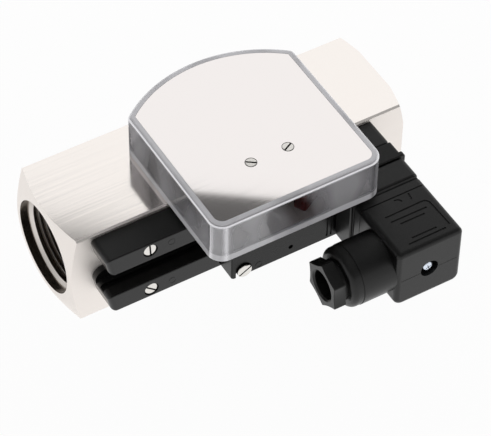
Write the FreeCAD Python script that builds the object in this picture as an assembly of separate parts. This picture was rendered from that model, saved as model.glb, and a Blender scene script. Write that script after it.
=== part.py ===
import FreeCAD, Part
import math
import os

# Variable area flow meter: a square flow body with a spring-loaded magnetic float,
# a clear indicator head on top and a rail-guided switch with a square plug connector in front.
# Millimetres. X follows the flow, Z is up, -Y is the front.
# The origin is on the flow axis where the inlet thread begins.

Vector = FreeCAD.Vector

# Square flow body
body_side = 50.0
body_length = 166.5
body_edge_chamfer = 0.8
end_cone_angle = 20.0
inlet_face_radius = 24.0
outlet_face_radius = 28.0
port_radius = 19.475
port_length = 22.0
mouth_depth = 2.1
mouth_step = 2.1
bore_radius = 17.0
groove_depth = 1.6

# Measuring insert: slotted nozzle, spring seat and their retaining rings
flange_thickness = 2.0
ring_thickness = 1.2
ring_play = 0.2
ring_width = 2.6
ring_gap_angle = 40.0
insert_fit = 0.05
pilot_length = 10.0
flow_gap = 1.8
nozzle_wall = 1.8
seat_lip = 2.4
slot_narrow = 1.2
slot_wide = 7.0
slot_edge = 5.0
seat_windows = 6
seat_window_radius = 2.6

# Float with magnet and return spring
float_travel = 40.0
float_clearance = 0.3
float_nose = 5.0
float_wall = 4.0
float_chamfer = 1.0
magnet_length = 14.0
cap_thickness = 5.0
spring_radius = 7.0
spring_wire = 1.3
spring_turns = 8
spring_seating = 0.05

# Indicator head
indicator_shift = 5.25
pivot_offset = 37.6
cover_width = 82.0
cover_height = 21.7
cover_arc_radius = 62.5
cover_front_reach = 27.7
cover_front_corner = 7.0
cover_back_corner = 3.4
cover_corner_least = 0.5
cover_wall = 2.5
cover_top = 2.5
cover_edge_round = 1.5
cover_seal_gap = 0.1
base_thickness = 2.5
base_gap = 0.2
base_screw_spacing = 56.0
base_screw_back = 26.0
base_screw_radius = 1.5
base_screw_head = 2.9
base_screw_length = 8.0
plate_thickness = 0.8
plate_rim = 3.1
plate_sink = 0.1
plate_clear = 0.1
cover_screw_spacing = 18.0
cover_screw_back = 1.6
cover_screw_radius = 1.5
cover_screw_head = 2.4
cover_screw_head_height = 0.9
cover_screw_ring = 0.3
cover_slot_depth = 0.5
cover_screw_depth = 6.2
post_radius = 2.8

# Pointer on its pivot
pivot_radius = 1.0
pivot_boss_radius = 4.0
pivot_boss_height = 2.5
pivot_fit = 0.03
hub_radius = 3.0
hub_shoulder = 1.0
hub_height = 6.6
hub_upper = 2.0
pointer_thickness = 0.8
pointer_tip_gap = 6.5
pointer_root_width = 5.0
pointer_tip_width = 1.6
tail_length = 18.5
tail_width = 4.0
counterweight_width = 12.0
counterweight_length = 6.0
counterweight_drop = 5.0
counterweight_rise = 6.0
counterweight_round = 1.0
follower_length = 10.0
follower_width = 6.0
follower_height = 4.0
clip_radius = 2.2
clip_thickness = 0.6
pin_tip = 0.6
moving_gap = 0.3

# Front guide rails
rail_top_drop = 2.0
rail_start = 9.9
lower_rail_lead = 0.8
rail_end = 16.9
rail_span = 33.3
rail_height = 10.2
rail_depth = 14.5
rail_end_lean = 12.0
rail_end_round = 2.4
rail_edge_round = 0.6
foot_depth = 3.0
upper_foot_reach = 0.4
lower_foot_reach = 4.6
foot_end_round = 5.0
track_depth = 1.6
track_width = 3.0
track_from_foot = 3.0
rail_screw_inset = 21.1
rail_screw_end_inset = 20.8
rail_screw_edge = 4.3
rail_screw_radius = 2.0
rail_screw_head = 3.2
rail_screw_head_height = 2.6
rail_screw_sink = 0.3
rail_screw_bite = 6.5
screw_clearance = 0.2
thread_fit = 0.05
slot_cut = 0.8
rail_slot_angles = (93.0, -42.0)
cover_slot_angles = (-36.0, 27.0)
clamp_slot_angle = 30.0

# Switch carriage on the rails
slide_gap = 0.3
carriage_length = 85.4
carriage_overhang = 0.4
carriage_depth = 9.4
carriage_round = 1.6
carriage_edge_round = 0.7
end_lip_reach = 1.4
end_lip_depth = 2.4
end_lip_round = 0.6
tongue_inset = 8.0
tongue_length = 44.0
clamp_inset = 6.1
clamp_edge = 3.9
clamp_radius = 2.0
clamp_head = 3.5
clamp_head_height = 3.4
clamp_recess_depth = 2.5
clamp_recess_gap = 0.4
insert_radius = 3.0
index_hole_radius = 1.15
index_hole_depth = 3.0
index_hole_inset = 29.6
index_hole_edge = 5.2
rib_count = 2
rib_width = 0.9
rib_depth = 0.5
rib_spacing = 2.0
rib_inset = 1.4
reed_radius = 1.4
reed_length = 16.0
reed_lead_radius = 0.3
reed_lead_length = 5.0
reed_fit = 0.15

# Plug base and its contact blades
plug_width = 33.6
plug_height = 32.2
plug_depth = 10.8
plug_neck_depth = 1.1
plug_neck_inset = 0.9
plug_round = 2.5
plug_edge_round = 0.8
blade_circle = 9.0
blade_width = 6.3
blade_thickness = 0.8
blade_length = 12.0
blade_root = 3.0
blade_fit = 0.1
blade_count = 4
socket_wall = 0.7
plug_nut_radius = 3.0
plug_nut_length = 6.0

# Plug connector
gasket_thickness = 2.4
gasket_band = 3.6
gasket_inset = 0.5
frame_thickness = 3.8
connector_width = 32.8
connector_height = 32.0
connector_depth = 30.1
connector_round = 2.6
connector_lower_round = 3.8
connector_front_round = 2.2
connector_back_round = 0.4
connector_wall = 3.6
connector_front_wall = 5.0
block_gap = 0.4
block_depth = 16.0
plug_screw_radius = 1.5
plug_screw_head = 2.75
plug_screw_head_height = 2.2
plug_screw_recess = 4.3
plug_screw_recess_depth = 3.3
running_fit = 0.08

# Cable gland on the connector
neck_radius = 13.9
neck_length = 20.8
neck_round = 3.0
neck_step = 0.25
neck_step_length = 5.5
neck_from_front = 14.5
gland_bore_radius = 9.5
gland_bore_length = 15.0
cable_radius = 6.8
nut_sides = 6
nut_rest_angle = 5.0
nut_corner_radius = 11.8
nut_scallop = 0.6
nut_corner_round = 0.8
nut_edge_round = 0.35
nut_length = 5.6
nut_collar_length = 1.4
nut_stem_length = 7.0
mouth_round = 0.8
washer_thickness = 1.0
gland_play = 0.15

# Places along the flow
half_side = body_side / 2
x_inlet_face = -mouth_depth
x_outlet_face = x_inlet_face + body_length
x_outlet_thread = x_outlet_face - mouth_depth
groove_length = flange_thickness + ring_thickness + ring_play
x_inlet_shoulder = port_length + groove_length
x_outlet_groove = x_outlet_thread - port_length
x_outlet_shoulder = x_outlet_groove - groove_length
groove_radius = port_radius + groove_depth
flange_radius = (bore_radius + port_radius) / 2
ring_outer_radius = groove_radius - ring_play
ring_inner_radius = ring_outer_radius - ring_width

# Places on the indicator
pivot_x = (x_inlet_face + x_outlet_face) / 2 + indicator_shift
pivot_y = -pivot_offset
cover_front = pivot_y - cover_front_reach
z_top = half_side
z_cover = z_top + cover_height
z_ceiling = z_cover - cover_top
z_plate = z_cover - plate_sink
z_plate_under = z_plate - plate_thickness
z_base = z_top + base_thickness
cover_screw_y = pivot_y - cover_screw_back
cover_screw_x = [pivot_x - cover_screw_spacing / 2, pivot_x + cover_screw_spacing / 2]
base_screw_y = pivot_y + base_screw_back
base_screw_x = [pivot_x - base_screw_spacing / 2, pivot_x + base_screw_spacing / 2]
z_hub = z_base + pivot_boss_height + moving_gap
z_pointer = z_hub + hub_height - hub_upper - pointer_thickness
z_clip = z_hub + hub_height + moving_gap
pointer_rest = math.degrees(math.atan(float_travel / 2 / pivot_offset))

# Places of the float: its magnet starts half a travel before the pivot
x_magnet = pivot_x - float_travel / 2
x_magnet_front = x_magnet - magnet_length / 2
x_magnet_back = x_magnet_front + magnet_length
x_float_front = x_magnet_front - float_nose
x_float_back = x_magnet_back + cap_thickness
x_nozzle_seat = x_float_front - float_clearance
nozzle_outer = bore_radius - flow_gap
nozzle_inner = nozzle_outer - nozzle_wall
float_radius = nozzle_inner - float_clearance
magnet_radius = float_radius - float_wall
spring_room = x_outlet_shoulder - x_float_back - float_travel
x_nozzle_end = x_float_back + float_travel
spigot_length = spring_room / 4
spigot_radius = spring_radius - spring_wire

# Places of the rails and the switch
rail_top = z_top - rail_top_drop
rail_mid = rail_top - rail_span / 2
rail_half = rail_span / 2
slot_half = rail_half - rail_height
x_rail_start = x_inlet_face + rail_start
x_rail_end = x_outlet_face - rail_end
rail_front = -half_side - rail_depth
foot_front = -half_side - foot_depth
track_back = foot_front - track_from_foot
track_front = track_back - track_width
rail_screw_x = [x_rail_start + rail_screw_inset, x_rail_end - rail_screw_end_inset]
rail_screw_z = [rail_mid + rail_half - rail_screw_edge, rail_mid - rail_half + rail_screw_edge]
rail_screw_seat = rail_front + rail_screw_sink + rail_screw_head_height
x_carriage_end = x_rail_end + carriage_overhang
x_carriage = x_carriage_end - carriage_length
carriage_back = rail_front - slide_gap
carriage_front = carriage_back - carriage_depth
carriage_low = rail_mid - rail_half
carriage_high = rail_mid + rail_half
clamp_x = x_carriage + clamp_inset
clamp_z = carriage_low + clamp_edge
clamp_seat = carriage_front + clamp_recess_depth
reed_x = x_carriage + tongue_inset + tongue_length / 2
reed_pocket = reed_radius + reed_fit
reed_y = track_front - reed_pocket

# Places of the plug and the connector
plug_x = x_carriage_end - plug_width / 2
plug_back = carriage_front - plug_neck_depth
plug_front = plug_back - plug_depth
gasket_front = plug_front - gasket_thickness
frame_front = gasket_front - frame_thickness
connector_front = frame_front - connector_depth
x_connector = plug_x - connector_width / 2
x_neck_end = x_connector - neck_length
gland_y = connector_front + neck_from_front
x_gland_seat = x_neck_end + gland_bore_length
x_nut_back = x_neck_end - moving_gap
x_nut_hex = x_nut_back - nut_collar_length
x_nut_front = x_nut_hex - nut_length
x_nut_stem = x_nut_back + moving_gap + nut_stem_length
plug_screw_seat = connector_front + plug_screw_recess_depth
plug_screw_tip = carriage_front - plug_neck_depth / 2


def block(x0, x1, y0, y1, z0, z1):
    """Rectangular block between two corners."""
    return Part.makeBox(x1 - x0, y1 - y0, z1 - z0, Vector(x0, y0, z0))


def rod_x(radius, x0, x1, y=0.0, z=0.0):
    """Round bar along X."""
    return Part.makeCylinder(radius, x1 - x0, Vector(x0, y, z), Vector(1, 0, 0))


def rod_y(radius, y0, y1, x, z):
    """Round bar along Y."""
    return Part.makeCylinder(radius, y1 - y0, Vector(x, y0, z), Vector(0, 1, 0))


def rod_z(radius, z0, z1, x, y):
    """Round bar along Z."""
    return Part.makeCylinder(radius, z1 - z0, Vector(x, y, z0), Vector(0, 0, 1))


def turned(profile, y=0.0, z=0.0):
    """Solid of revolution about an X axis from (x, radius) points."""
    points = [Vector(x, y, z + radius) for x, radius in profile]
    face = Part.Face(Part.makePolygon(points + points[:1]))
    return face.revolve(Vector(0, y, z), Vector(1, 0, 0), 360)


def runs_along(edge, axis):
    """True for a straight edge along the axis X, Y or Z."""
    if not isinstance(edge.Curve, Part.Line):
        return False
    direction = edge.Vertexes[1].Point - edge.Vertexes[0].Point
    along = getattr(direction, axis)
    return abs(abs(along) - direction.Length) < 1e-6


def rounded(solid, radius, choose):
    """Round the edges that the choose function picks."""
    return solid.makeFillet(radius, [edge for edge in solid.Edges if choose(edge)])


def at_level(edge, axis, level):
    """True if the whole edge lies at one level of an axis."""
    return all(abs(getattr(vertex.Point, axis) - level) < 1e-6 for vertex in edge.Vertexes)


def joined(first, *others):
    """Union of solids with merged faces."""
    return first.fuse(list(others)).removeSplitter()


def group(solids):
    """Separate solids that share one node."""
    return Part.makeCompound(solids)


# Flow body and its measuring insert


def meter_body():
    """Square bar with turned ends, a threaded port at each end and a stepped bore."""
    bar = block(x_inlet_face, x_outlet_face, -half_side, half_side, -half_side, half_side)
    bar = bar.makeChamfer(body_edge_chamfer, [edge for edge in bar.Edges if runs_along(edge, "x")])
    slope = math.tan(math.radians(end_cone_angle))
    outside = body_side
    inlet_run = (outside - inlet_face_radius) * slope
    outlet_run = (outside - outlet_face_radius) * slope
    envelope = turned([
        (x_inlet_face, 0),
        (x_inlet_face, inlet_face_radius),
        (x_inlet_face + inlet_run, outside),
        (x_outlet_face - outlet_run, outside),
        (x_outlet_face, outlet_face_radius),
        (x_outlet_face, 0),
    ])
    mouth_radius = port_radius + mouth_step
    passage = turned([
        (x_inlet_face, 0),
        (x_inlet_face, mouth_radius),
        (0, mouth_radius),
        (0, port_radius),
        (port_length, port_radius),
        (port_length, groove_radius),
        (x_inlet_shoulder, groove_radius),
        (x_inlet_shoulder, bore_radius),
        (x_outlet_shoulder, bore_radius),
        (x_outlet_shoulder, groove_radius),
        (x_outlet_groove, groove_radius),
        (x_outlet_groove, port_radius),
        (x_outlet_thread, port_radius),
        (x_outlet_thread, mouth_radius),
        (x_outlet_face, mouth_radius),
        (x_outlet_face, 0),
    ])
    body = bar.common(envelope).cut(passage)
    hole = rail_screw_radius + thread_fit
    for x in rail_screw_x:
        for z in rail_screw_z:
            body = body.cut(rod_y(hole, -half_side, -half_side + rail_screw_bite, x, z))
    depth = base_screw_length - base_thickness + thread_fit
    for x in base_screw_x:
        body = body.cut(rod_z(base_screw_radius + thread_fit, z_top - depth, z_top, x, base_screw_y))
    return body


def slotted_nozzle():
    """Sleeve with a float seat and two slots that widen towards the outlet."""
    pilot_end = x_inlet_shoulder + pilot_length
    sleeve = turned([
        (x_inlet_shoulder - flange_thickness, nozzle_inner - seat_lip),
        (x_inlet_shoulder - flange_thickness, flange_radius),
        (x_inlet_shoulder, flange_radius),
        (x_inlet_shoulder, bore_radius - insert_fit),
        (pilot_end, bore_radius - insert_fit),
        (pilot_end + flow_gap, nozzle_outer),
        (x_nozzle_end, nozzle_outer),
        (x_nozzle_end, nozzle_inner),
        (x_nozzle_seat, nozzle_inner),
        (x_nozzle_seat, nozzle_inner - seat_lip),
    ])
    x_start = x_nozzle_seat + slot_edge
    x_stop = x_nozzle_end - slot_edge
    outline = [
        Vector(x_start, -bore_radius, -slot_narrow / 2),
        Vector(x_stop, -bore_radius, -slot_wide / 2),
        Vector(x_stop, -bore_radius, slot_wide / 2),
        Vector(x_start, -bore_radius, slot_narrow / 2),
    ]
    slot = Part.Face(Part.makePolygon(outline + outline[:1])).extrude(Vector(0, 2 * bore_radius, 0))
    return sleeve.cut(slot)


def retaining_ring(x0):
    """Open spring ring that snaps into the groove behind a port."""
    ring = rod_x(ring_outer_radius, x0, x0 + ring_thickness)
    ring = ring.cut(rod_x(ring_inner_radius, x0, x0 + ring_thickness))
    half_angle = math.radians(ring_gap_angle / 2)
    reach = 2 * ring_outer_radius
    wedge = [
        Vector(x0, 0, 0),
        Vector(x0, reach * math.sin(half_angle), -reach * math.cos(half_angle)),
        Vector(x0, -reach * math.sin(half_angle), -reach * math.cos(half_angle)),
    ]
    gap = Part.Face(Part.makePolygon(wedge + wedge[:1])).extrude(Vector(ring_thickness, 0, 0))
    return ring.cut(gap)


def spring_seat():
    """Perforated disc with a spigot that carries the far end of the spring."""
    disc = rod_x(flange_radius, x_outlet_shoulder, x_outlet_shoulder + flange_thickness)
    spigot = rod_x(spigot_radius, x_outlet_shoulder - spigot_length, x_outlet_shoulder)
    seat = joined(disc, spigot)
    circle = (spring_radius + spring_wire + bore_radius) / 2
    for index in range(seat_windows):
        angle = 2 * math.pi * index / seat_windows
        y = circle * math.cos(angle)
        z = circle * math.sin(angle)
        window = rod_x(seat_window_radius, x_outlet_shoulder, x_outlet_shoulder + flange_thickness, y, z)
        seat = seat.cut(window)
    return seat


def float_piston():
    """Float cup that closes the nozzle seat and holds the magnet."""
    pocket = magnet_radius + insert_fit
    return turned([
        (x_float_front, 0),
        (x_float_front, float_radius - float_chamfer),
        (x_float_front + float_chamfer, float_radius),
        (x_float_back - float_chamfer, float_radius),
        (x_float_back, float_radius - float_chamfer),
        (x_float_back, pocket),
        (x_magnet_front, pocket),
        (x_magnet_front, 0),
    ])


def float_magnet():
    """Round bar magnet inside the float."""
    return rod_x(magnet_radius, x_magnet_front, x_magnet_back)


def magnet_cap():
    """Plug that closes the float and centres the spring."""
    return turned([
        (x_magnet_back, 0),
        (x_magnet_back, magnet_radius),
        (x_float_back, magnet_radius),
        (x_float_back, spigot_radius),
        (x_float_back + spigot_length, spigot_radius),
        (x_float_back + spigot_length, 0),
    ])


def return_spring():
    """Helical compression spring between the float and its seat."""
    x0 = x_float_back + spring_wire / 2 + spring_seating
    x1 = x_outlet_shoulder - spring_wire / 2 - spring_seating
    helix = Part.makeHelix((x1 - x0) / spring_turns, x1 - x0, spring_radius)
    start = Vector(spring_radius, 0, 0)
    profile = Part.Wire([Part.makeCircle(spring_wire / 2, start, Vector(0, 1, 0))])
    spring = Part.Wire(helix.Edges).makePipeShell([profile], True, True)
    spring.rotate(Vector(0, 0, 0), Vector(0, 1, 0), 90)
    spring.translate(Vector(x0, 0, 0))
    return spring


# Indicator head


def indicator_prism(inset, z0, z1):
    """Upright prism of the head's plan: straight front and sides, an arc about the pivot behind."""
    half_width = cover_width / 2 - inset
    radius = cover_arc_radius - inset
    front = cover_front + inset
    back = pivot_y + math.sqrt(radius ** 2 - half_width ** 2)
    left_front = Vector(pivot_x - half_width, front, z0)
    left_back = Vector(pivot_x - half_width, back, z0)
    crown = Vector(pivot_x, pivot_y + radius, z0)
    right_back = Vector(pivot_x + half_width, back, z0)
    right_front = Vector(pivot_x + half_width, front, z0)
    outline = Part.Wire([
        Part.makeLine(left_front, left_back),
        Part.Arc(left_back, crown, right_back).toShape(),
        Part.makeLine(right_back, right_front),
        Part.makeLine(right_front, left_front),
    ])
    solid = Part.Face(outline).extrude(Vector(0, 0, z1 - z0))

    def front_corner(edge):
        return runs_along(edge, "z") and edge.CenterOfMass.y < pivot_y

    def back_corner(edge):
        return runs_along(edge, "z") and edge.CenterOfMass.y > pivot_y and edge.CenterOfMass.y > back - 1e-6

    solid = rounded(solid, max(cover_front_corner - inset, cover_corner_least), front_corner)
    return rounded(solid, max(cover_back_corner - inset, cover_corner_least), back_corner)


def indicator_base():
    """Floor of the head, screwed to the body, with a boss for the pointer pivot."""
    floor = indicator_prism(cover_wall + base_gap, z_top, z_base)
    boss = rod_z(pivot_boss_radius, z_base, z_base + pivot_boss_height, pivot_x, pivot_y)
    base = joined(floor, boss)
    base = base.cut(rod_z(pivot_radius + insert_fit, z_base, z_base + pivot_boss_height, pivot_x, pivot_y))
    for x in base_screw_x:
        base = base.cut(rod_z(base_screw_radius + thread_fit, z_top, z_base, x, base_screw_y))
        base = base.cut(countersink(x, base_screw_head + thread_fit))
    return base


def countersink(x, head):
    """Cone of a countersunk head that ends flush with the floor of the head."""
    height = head - base_screw_radius
    return Part.makeCone(base_screw_radius, head, height, Vector(x, base_screw_y, z_base - height))


def base_screws():
    """Countersunk screws that hold the floor of the head on the body."""
    screws = []
    for x in base_screw_x:
        shank = rod_z(base_screw_radius, z_base - base_screw_length, z_base, x, base_screw_y)
        screws.append(joined(shank, countersink(x, base_screw_head)))
    return group(screws)


def indicator_cover():
    """Clear one-piece cover with an open bottom, and a shallow tray for the plate in its top."""
    z_rim = z_top + cover_seal_gap
    shell = indicator_prism(0, z_rim, z_cover)
    shell = rounded(shell, cover_edge_round, lambda edge: at_level(edge, "z", z_cover))
    shell = shell.cut(indicator_prism(cover_wall, z_rim, z_ceiling))
    shell = shell.cut(indicator_prism(plate_rim - plate_clear, z_plate_under, z_cover))
    for x in cover_screw_x:
        hole = rod_z(cover_screw_radius + screw_clearance, z_ceiling, z_plate_under, x, cover_screw_y)
        shell = shell.cut(hole)
    return shell


def dial_plate():
    """Polished plate that lies in the top of the cover."""
    plate = indicator_prism(plate_rim, z_plate_under, z_plate)
    for x in cover_screw_x:
        hole = rod_z(cover_screw_head + cover_screw_ring, z_plate_under, z_plate, x, cover_screw_y)
        plate = plate.cut(hole)
    return plate


def cover_posts():
    """Tapped posts on the floor that carry the cover."""
    posts = []
    for x in cover_screw_x:
        post = rod_z(post_radius, z_base, z_ceiling, x, cover_screw_y)
        tip = z_plate_under - cover_screw_depth
        bore = rod_z(cover_screw_radius + thread_fit, tip, z_ceiling, x, cover_screw_y)
        posts.append(post.cut(bore))
    return group(posts)


def cover_screws():
    """Slotted screws on the cover, flush in the plate's holes, each slot as it was tightened."""
    screws = []
    head_top = z_plate_under + cover_screw_head_height
    for x, angle in zip(cover_screw_x, cover_slot_angles):
        shank = rod_z(cover_screw_radius, z_plate_under - cover_screw_depth, z_plate_under, x, cover_screw_y)
        head = rod_z(cover_screw_head, z_plate_under, head_top, x, cover_screw_y)
        reach = cover_screw_head
        slot = block(-reach, reach, -slot_cut / 2, slot_cut / 2, -cover_slot_depth, 0)
        slot.rotate(Vector(0, 0, 0), Vector(0, 0, 1), angle)
        slot.translate(Vector(x, cover_screw_y, head_top))
        screws.append(joined(shank, head).cut(slot))
    return group(screws)


# Pointer, drawn straight back and then turned to its rest angle


def at_rest(solid):
    """Turn a pointer piece from straight back to where it lies with no flow."""
    solid.rotate(Vector(pivot_x, pivot_y, 0), Vector(0, 0, 1), pointer_rest)
    return solid


def pivot_pin():
    """Fixed pin that the pointer turns on."""
    return rod_z(pivot_radius, z_base, z_clip + clip_thickness + pin_tip, pivot_x, pivot_y)


def pivot_clip():
    """Snap ring that keeps the pointer on its pin."""
    ring = rod_z(clip_radius, z_clip, z_clip + clip_thickness, pivot_x, pivot_y)
    return ring.cut(rod_z(pivot_radius + insert_fit, z_clip, z_clip + clip_thickness, pivot_x, pivot_y))


def pointer_hub():
    """Shouldered bush that the pointer blade is fixed on."""
    lower = rod_z(hub_radius + hub_shoulder, z_hub, z_pointer, pivot_x, pivot_y)
    upper = rod_z(hub_radius, z_pointer, z_hub + hub_height, pivot_x, pivot_y)
    hub = joined(lower, upper)
    return hub.cut(rod_z(pivot_radius + pivot_fit, z_hub, z_hub + hub_height, pivot_x, pivot_y))


def pointer_blade():
    """Tapered sheet pointer with a counterweight on its tail."""
    reach = cover_arc_radius - cover_wall - pointer_tip_gap
    outline = [
        Vector(pivot_x - tail_width / 2, pivot_y - tail_length, z_pointer),
        Vector(pivot_x - pointer_root_width / 2, pivot_y, z_pointer),
        Vector(pivot_x - pointer_tip_width / 2, pivot_y + reach - pointer_tip_width, z_pointer),
        Vector(pivot_x, pivot_y + reach, z_pointer),
        Vector(pivot_x + pointer_tip_width / 2, pivot_y + reach - pointer_tip_width, z_pointer),
        Vector(pivot_x + pointer_root_width / 2, pivot_y, z_pointer),
        Vector(pivot_x + tail_width / 2, pivot_y - tail_length, z_pointer),
    ]
    blade = Part.Face(Part.makePolygon(outline + outline[:1])).extrude(Vector(0, 0, pointer_thickness))
    z_over = z_pointer + pointer_thickness
    collar = rod_z(hub_radius + hub_shoulder, z_pointer, z_over, pivot_x, pivot_y)
    weight = block(
        pivot_x - counterweight_width / 2,
        pivot_x + counterweight_width / 2,
        pivot_y - tail_length - counterweight_length / 2,
        pivot_y - tail_length + counterweight_length / 2,
        z_pointer - counterweight_drop,
        z_over + counterweight_rise,
    )
    weight = rounded(weight, counterweight_round, lambda edge: runs_along(edge, "z"))
    blade = joined(blade, collar, weight)
    return at_rest(blade.cut(rod_z(hub_radius + insert_fit, z_pointer, z_over, pivot_x, pivot_y)))


def follower_magnet():
    """Magnet under the blade, over the flow axis, that the float magnet drags along."""
    magnet = block(
        pivot_x - follower_length / 2,
        pivot_x + follower_length / 2,
        -follower_width / 2,
        follower_width / 2,
        z_pointer - follower_height,
        z_pointer,
    )
    return at_rest(magnet)


# Guide rails


def leaning_bar(x_start, y_front, low, high, z_start):
    """Bar on the body whose inlet end leans: its start moves along the flow below z_start."""
    lean = math.tan(math.radians(rail_end_lean))
    outline = [
        Vector(x_start + (z_start - high) * lean, y_front, high),
        Vector(x_start + (z_start - low) * lean, y_front, low),
        Vector(x_rail_end, y_front, low),
        Vector(x_rail_end, y_front, high),
    ]
    face = Part.Face(Part.makePolygon(outline + outline[:1]))
    return face.extrude(Vector(0, -half_side - y_front, 0))


def guide_rail(side, x_start, foot_reach):
    """One rail: a bar with a wider foot on the body and a track in its inner wall."""
    z_outer = rail_mid + side * rail_half
    z_inner = rail_mid + side * slot_half
    z_foot = z_inner - side * foot_reach
    z_track = z_inner + side * track_depth
    z_start = max(z_outer, z_foot)
    low, high = sorted((z_outer, z_inner))
    bar = leaning_bar(x_start, rail_front, low, high, z_start)

    def end_edge(edge):
        upright = at_level(edge, "y", rail_front) and not runs_along(edge, "x")
        return runs_along(edge, "y") or upright

    def front_edge(edge):
        return runs_along(edge, "x") and at_level(edge, "y", rail_front)

    bar = rounded(bar, rail_end_round, end_edge)
    bar = rounded(bar, rail_edge_round, front_edge)
    low, high = sorted((z_outer, z_foot))
    foot = leaning_bar(x_start, foot_front, low, high, z_start)

    def inner_end(edge):
        return runs_along(edge, "y") and at_level(edge, "z", z_foot)

    def outer_end(edge):
        return runs_along(edge, "y") and at_level(edge, "z", z_outer)

    foot = rounded(foot, foot_end_round, inner_end)
    foot = rounded(foot, rail_end_round, outer_end)
    low, high = sorted((z_inner, z_track))
    rail = joined(bar, foot).cut(block(x_start, x_rail_end, track_front, track_back, low, high))
    z_screw = rail_mid + side * (rail_half - rail_screw_edge)
    for x in rail_screw_x:
        rail = rail.cut(rod_y(rail_screw_radius + screw_clearance, rail_front, -half_side, x, z_screw))
        rail = rail.cut(rod_y(rail_screw_head + screw_clearance, rail_front, rail_screw_seat, x, z_screw))
    return rail


def rail_screws():
    """Slotted cheese-head screws that hold the rails on the body."""
    screws = []
    head_front = rail_front + rail_screw_sink
    for x in rail_screw_x:
        for z, angle in zip(rail_screw_z, rail_slot_angles):
            head = rod_y(rail_screw_head, head_front, rail_screw_seat, x, z)
            shank = rod_y(rail_screw_radius, rail_screw_seat, -half_side + rail_screw_bite, x, z)
            slot = block(-rail_screw_head, rail_screw_head, 0, slot_cut, -slot_cut / 2, slot_cut / 2)
            slot.rotate(Vector(0, 0, 0), Vector(0, 1, 0), -angle)
            slot.translate(Vector(x, head_front, z))
            screws.append(joined(head, shank).cut(slot))
    return group(screws)


# Switch carriage


def switch_carriage():
    """Moulded carriage in front of the rails with a tongue that hooks into their tracks."""
    case = block(x_carriage, x_carriage_end, carriage_front, carriage_back, carriage_low, carriage_high)
    case = rounded(case, carriage_round, lambda edge: runs_along(edge, "y"))
    case = rounded(case, carriage_edge_round, lambda edge: at_level(edge, "y", carriage_front))
    x_lip = x_carriage_end + end_lip_reach
    end_lip = block(
        x_lip - plug_width,
        x_lip,
        carriage_front,
        carriage_front + end_lip_depth,
        carriage_low,
        carriage_high,
    )
    end_lip = rounded(end_lip, carriage_round, lambda edge: runs_along(edge, "y"))
    end_lip = rounded(end_lip, end_lip_round, lambda edge: at_level(edge, "y", carriage_front))
    x0 = x_carriage + tongue_inset
    x1 = x0 + tongue_length
    tongue_half = slot_half - slide_gap
    tongue_back = track_back - slide_gap
    lip_half = slot_half + track_depth - slide_gap
    tongue = block(x0, x1, carriage_back, tongue_back, rail_mid - tongue_half, rail_mid + tongue_half)
    lip_front = track_front + slide_gap
    lip = block(x0, x1, lip_front, tongue_back, rail_mid - lip_half, rail_mid + lip_half)
    case = joined(case, end_lip, tongue, lip)
    reed_half = reed_length / 2 + reed_lead_length + reed_fit
    pocket = rod_x(reed_pocket, reed_x - reed_half, reed_x + reed_half, reed_y, rail_mid)
    mouth = block(
        reed_x - reed_half,
        reed_x + reed_half,
        reed_y,
        tongue_back,
        rail_mid - reed_pocket,
        rail_mid + reed_pocket,
    )
    case = case.cut(joined(pocket, mouth))
    case = case.cut(rod_y(insert_radius + insert_fit, clamp_seat, carriage_back, clamp_x, clamp_z))
    recess = clamp_head + clamp_recess_gap
    case = case.cut(rod_y(recess, carriage_front, clamp_seat, clamp_x, clamp_z))
    run_out = block(
        clamp_x - recess, clamp_x + recess, carriage_front, clamp_seat, carriage_low, clamp_z
    )
    case = case.cut(run_out)
    index_x = x_carriage + index_hole_inset
    index_z = carriage_low + index_hole_edge
    index_end = carriage_front + index_hole_depth
    case = case.cut(rod_y(index_hole_radius, carriage_front, index_end, index_x, index_z))
    x_rib = plug_x - plug_width / 2 - rib_inset
    rib_floor = carriage_front + rib_depth
    for index in range(rib_count):
        x = x_rib - index * rib_spacing
        cut = block(x - rib_width, x, carriage_front, rib_floor, carriage_low + rib_spacing, carriage_high)
        case = case.cut(cut)
    return case


def clamp_insert():
    """Threaded bush moulded into the carriage for the clamp screw."""
    bush = rod_y(insert_radius, clamp_seat, carriage_back, clamp_x, clamp_z)
    return bush.cut(rod_y(clamp_radius + running_fit, clamp_seat, carriage_back, clamp_x, clamp_z))


def clamp_screw():
    """Slotted screw that presses on the lower rail to hold the carriage."""
    head_front = clamp_seat - moving_gap - clamp_head_height
    head = rod_y(clamp_head, head_front, clamp_seat - moving_gap, clamp_x, clamp_z)
    shank = rod_y(clamp_radius, clamp_seat - moving_gap, carriage_back, clamp_x, clamp_z)
    slot = block(-clamp_head, clamp_head, 0, slot_cut, -slot_cut / 2, slot_cut / 2)
    slot.rotate(Vector(0, 0, 0), Vector(0, 1, 0), -clamp_slot_angle)
    slot.translate(Vector(clamp_x, head_front, clamp_z))
    return joined(head, shank).cut(slot)


def reed_switch():
    """Glass reed capsule with its two leads."""
    x0 = reed_x - reed_length / 2
    x1 = reed_x + reed_length / 2
    capsule = rod_x(reed_radius, x0, x1, reed_y, rail_mid)
    capsule = rounded(capsule, reed_radius / 2, lambda edge: not runs_along(edge, "x"))
    lead_in = rod_x(reed_lead_radius, x0 - reed_lead_length, x0, reed_y, rail_mid)
    lead_out = rod_x(reed_lead_radius, x1, x1 + reed_lead_length, reed_y, rail_mid)
    return joined(capsule, lead_in, lead_out)


# Plug base and connector


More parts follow.
